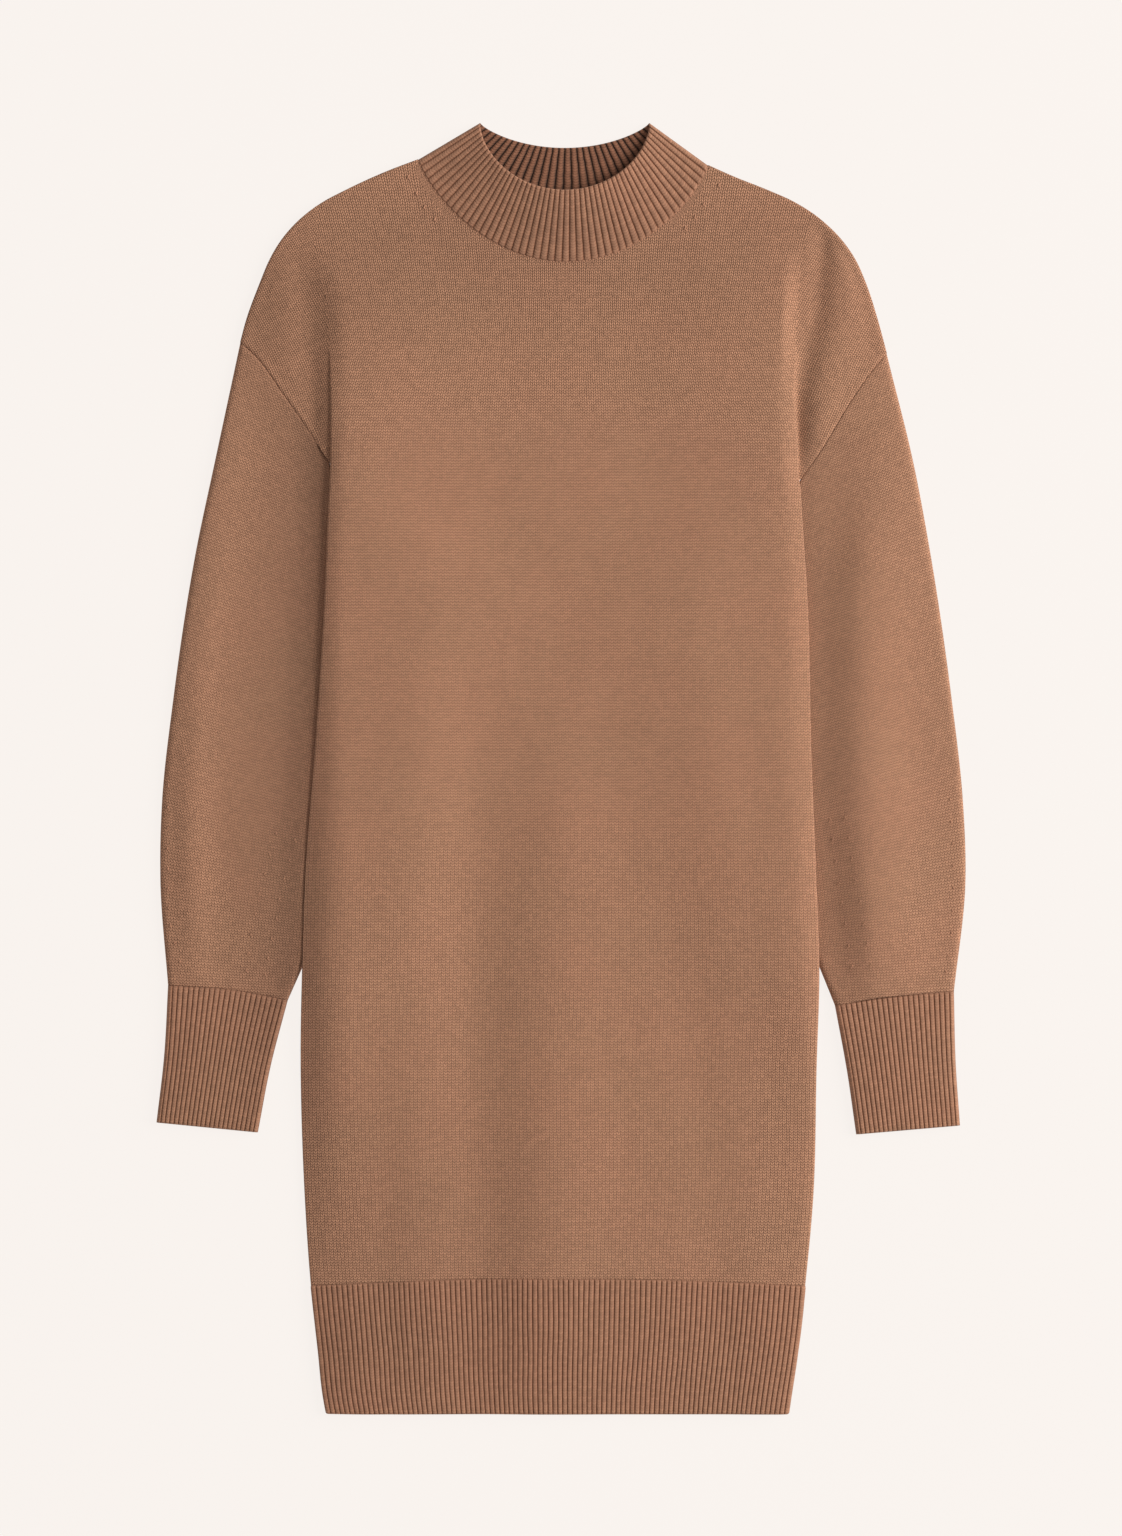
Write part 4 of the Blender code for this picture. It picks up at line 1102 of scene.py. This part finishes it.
def makeLoops(name, places):  # each place: middle, direction, length, thickness, bend
    around, along = loops["around"], loops["along"]
    turn = np.linspace(0, 2 * np.pi, around, endpoint=False)
    points, faces, maps = [], [], []
    for number, (middle, direction, length, thick, bend) in enumerate(places):
        direction = np.asarray(direction, float) / np.linalg.norm(direction)
        side = np.array([-direction[1], direction[0], 0]) / math.hypot(direction[0], direction[1])
        over = np.cross(direction, side)
        first = len(points)
        for s in np.linspace(0, 1, along + 1):
            out = (2 * s - 1) ** 2
            radius = thick / 2 * math.sqrt(max(1 - out, 0.02)) ** 0.7
            core = np.asarray(middle) + direction * length * (s - 0.5) + side * bend * out
            core = core - np.array([0, 0, 0.35 * thick * out])
            for angle in turn:
                points.append(core + radius * (math.cos(angle) * side + 0.8 * math.sin(angle) * over))
        rings = [[(i, j), (i, j + 1), (i + 1, j + 1), (i + 1, j)]
                 for i in range(along) for j in range(around)]
        ends = [[(0, j) for j in reversed(range(around))], [(along, j) for j in range(around)]]
        for face in rings + ends:
            faces.append([first + i * around + j % around for i, j in face])
            maps.extend((number + i / along, j / around) for i, j in face)
    return makePiece(name, np.array(points), faces, np.array(maps), looseYarn)


def makeNeckChain():  # the collar is linked to the front, loop by loop
    free, pitch = loops["chainFree"], loops["chainPitch"]
    base = neckCurve(neck["drop"][0], -np.cos(np.linspace(free, np.pi - free, 241)))
    count = int(stepsOf(base).sum() / pitch)
    spots = alongLine(base, (np.arange(count) + 0.5) / count)
    height = surfaceHeight(frontTop[-6:], spots) - 0.05
    rows = np.column_stack([spots, height, np.gradient(spots, axis=0)])
    return makeLoops("neckChain", [
        ((x, up, z), (dx, dy + 0.25 * dx * (-1) ** i, 0), pitch * 1.15, loops["chainThick"], 0.1)
        for i, (x, up, z, dx, dy) in enumerate(rows)])


def makeMarks(name, spots, grid, lean, size):  # each mark is a long loop and a short one across its foot
    spots = np.array(spots)
    length, thick = size
    places = []
    for i, (x, up, z) in enumerate(np.column_stack([spots, surfaceHeight(grid, spots)])):
        slope = lean * (1 + 0.2 * math.sin(5.1 * i))
        places.append(((x, up, z + 0.25), (slope, 1, 0), length, thick, 0.35 * lean))
        places.append(((x + 1.2 * lean, up - 1.2, z + 0.05), (slope, -0.55, 0),
                       0.7 * length, 0.8 * thick, 0.1))
    return makeLoops(name, places)


neckChain = makeNeckChain()
neckMarks = makeMarks("neckMarks", loops["neckMarks"], frontTop, loops["neckLean"], loops["neckMark"])
sleeveMarks = {
    side: makeMarks("sleeve" + side.capitalize() + "Marks", spots, sleeves[side][1],
                    -sleeveSides[side]["sign"] * loops["sleeveLean"], loops["sleeveMark"])
    for side, spots in loops["sleeveMarks"].items()}
print("loops and marks made")

studio = {  # here sizes are in metres, but the lens in millimetres
    "table": {"Base Color": (0.05, 0.047, 0.044, 1), "Roughness": 1.0, "Specular IOR Level": 0.0,
              "Emission Color": (0.902, 0.855, 0.82, 1), "Emission Strength": 1.0},
    "tableHalf": 30,
    "tableUnder": 0.0004,
    "sky": (1.0, 0.965, 0.935, 1),
    "skyStrength": 0.365,
    "keyPower": 290.0,
    "keySize": 3.0,
    "keyPlace": (3.85, 0.9, 2.3),  # right, a little from the collar's side
    "keyColour": (1.0, 0.975, 0.935),
    "cameraPlace": (0, 0.000175, 2.5454),
    "lens": 85.0,
}


def makeTable():
    half, under = studio["tableHalf"], studio["tableUnder"]
    mesh = bpy.data.meshes.new("table")
    mesh.from_pydata([(-half, -half, -under), (half, -half, -under), (half, half, -under),
                      (-half, half, -under)], [], [(0, 1, 2, 3)])
    material, tree, shader = newMaterial("paleTable")
    wireAll(tree, shader, studio["table"])
    mesh.materials.append(material)
    table = newObject("table", mesh)


def makeLight():
    softBox = bpy.data.lights.new("softKey", "AREA")
    softBox.energy = studio["keyPower"]
    softBox.size = studio["keySize"]
    softBox.color = studio["keyColour"]
    key = newObject("softKey", softBox)
    x, y, z = key.location = studio["keyPlace"]
    key.rotation_euler = (math.atan2(math.hypot(x, y), z), 0, math.atan2(y, x) + math.pi / 2)
    key.visible_camera = False

    world = bpy.data.worlds.new("studioSky")
    world.use_nodes = True
    sky = world.node_tree.nodes["Background"]
    sky.inputs[0].default_value = studio["sky"]
    sky.inputs[1].default_value = studio["skyStrength"]
    bpy.context.scene.world = world


def makeCamera():
    lens = bpy.data.cameras.new("camera")
    lens.lens = studio["lens"]
    camera = newObject("camera", lens)
    camera.location = studio["cameraPlace"]
    bpy.context.scene.camera = camera
    bpy.context.scene.view_settings.view_transform = "Standard"


makeTable()
makeLight()
makeCamera()
print("studio made")
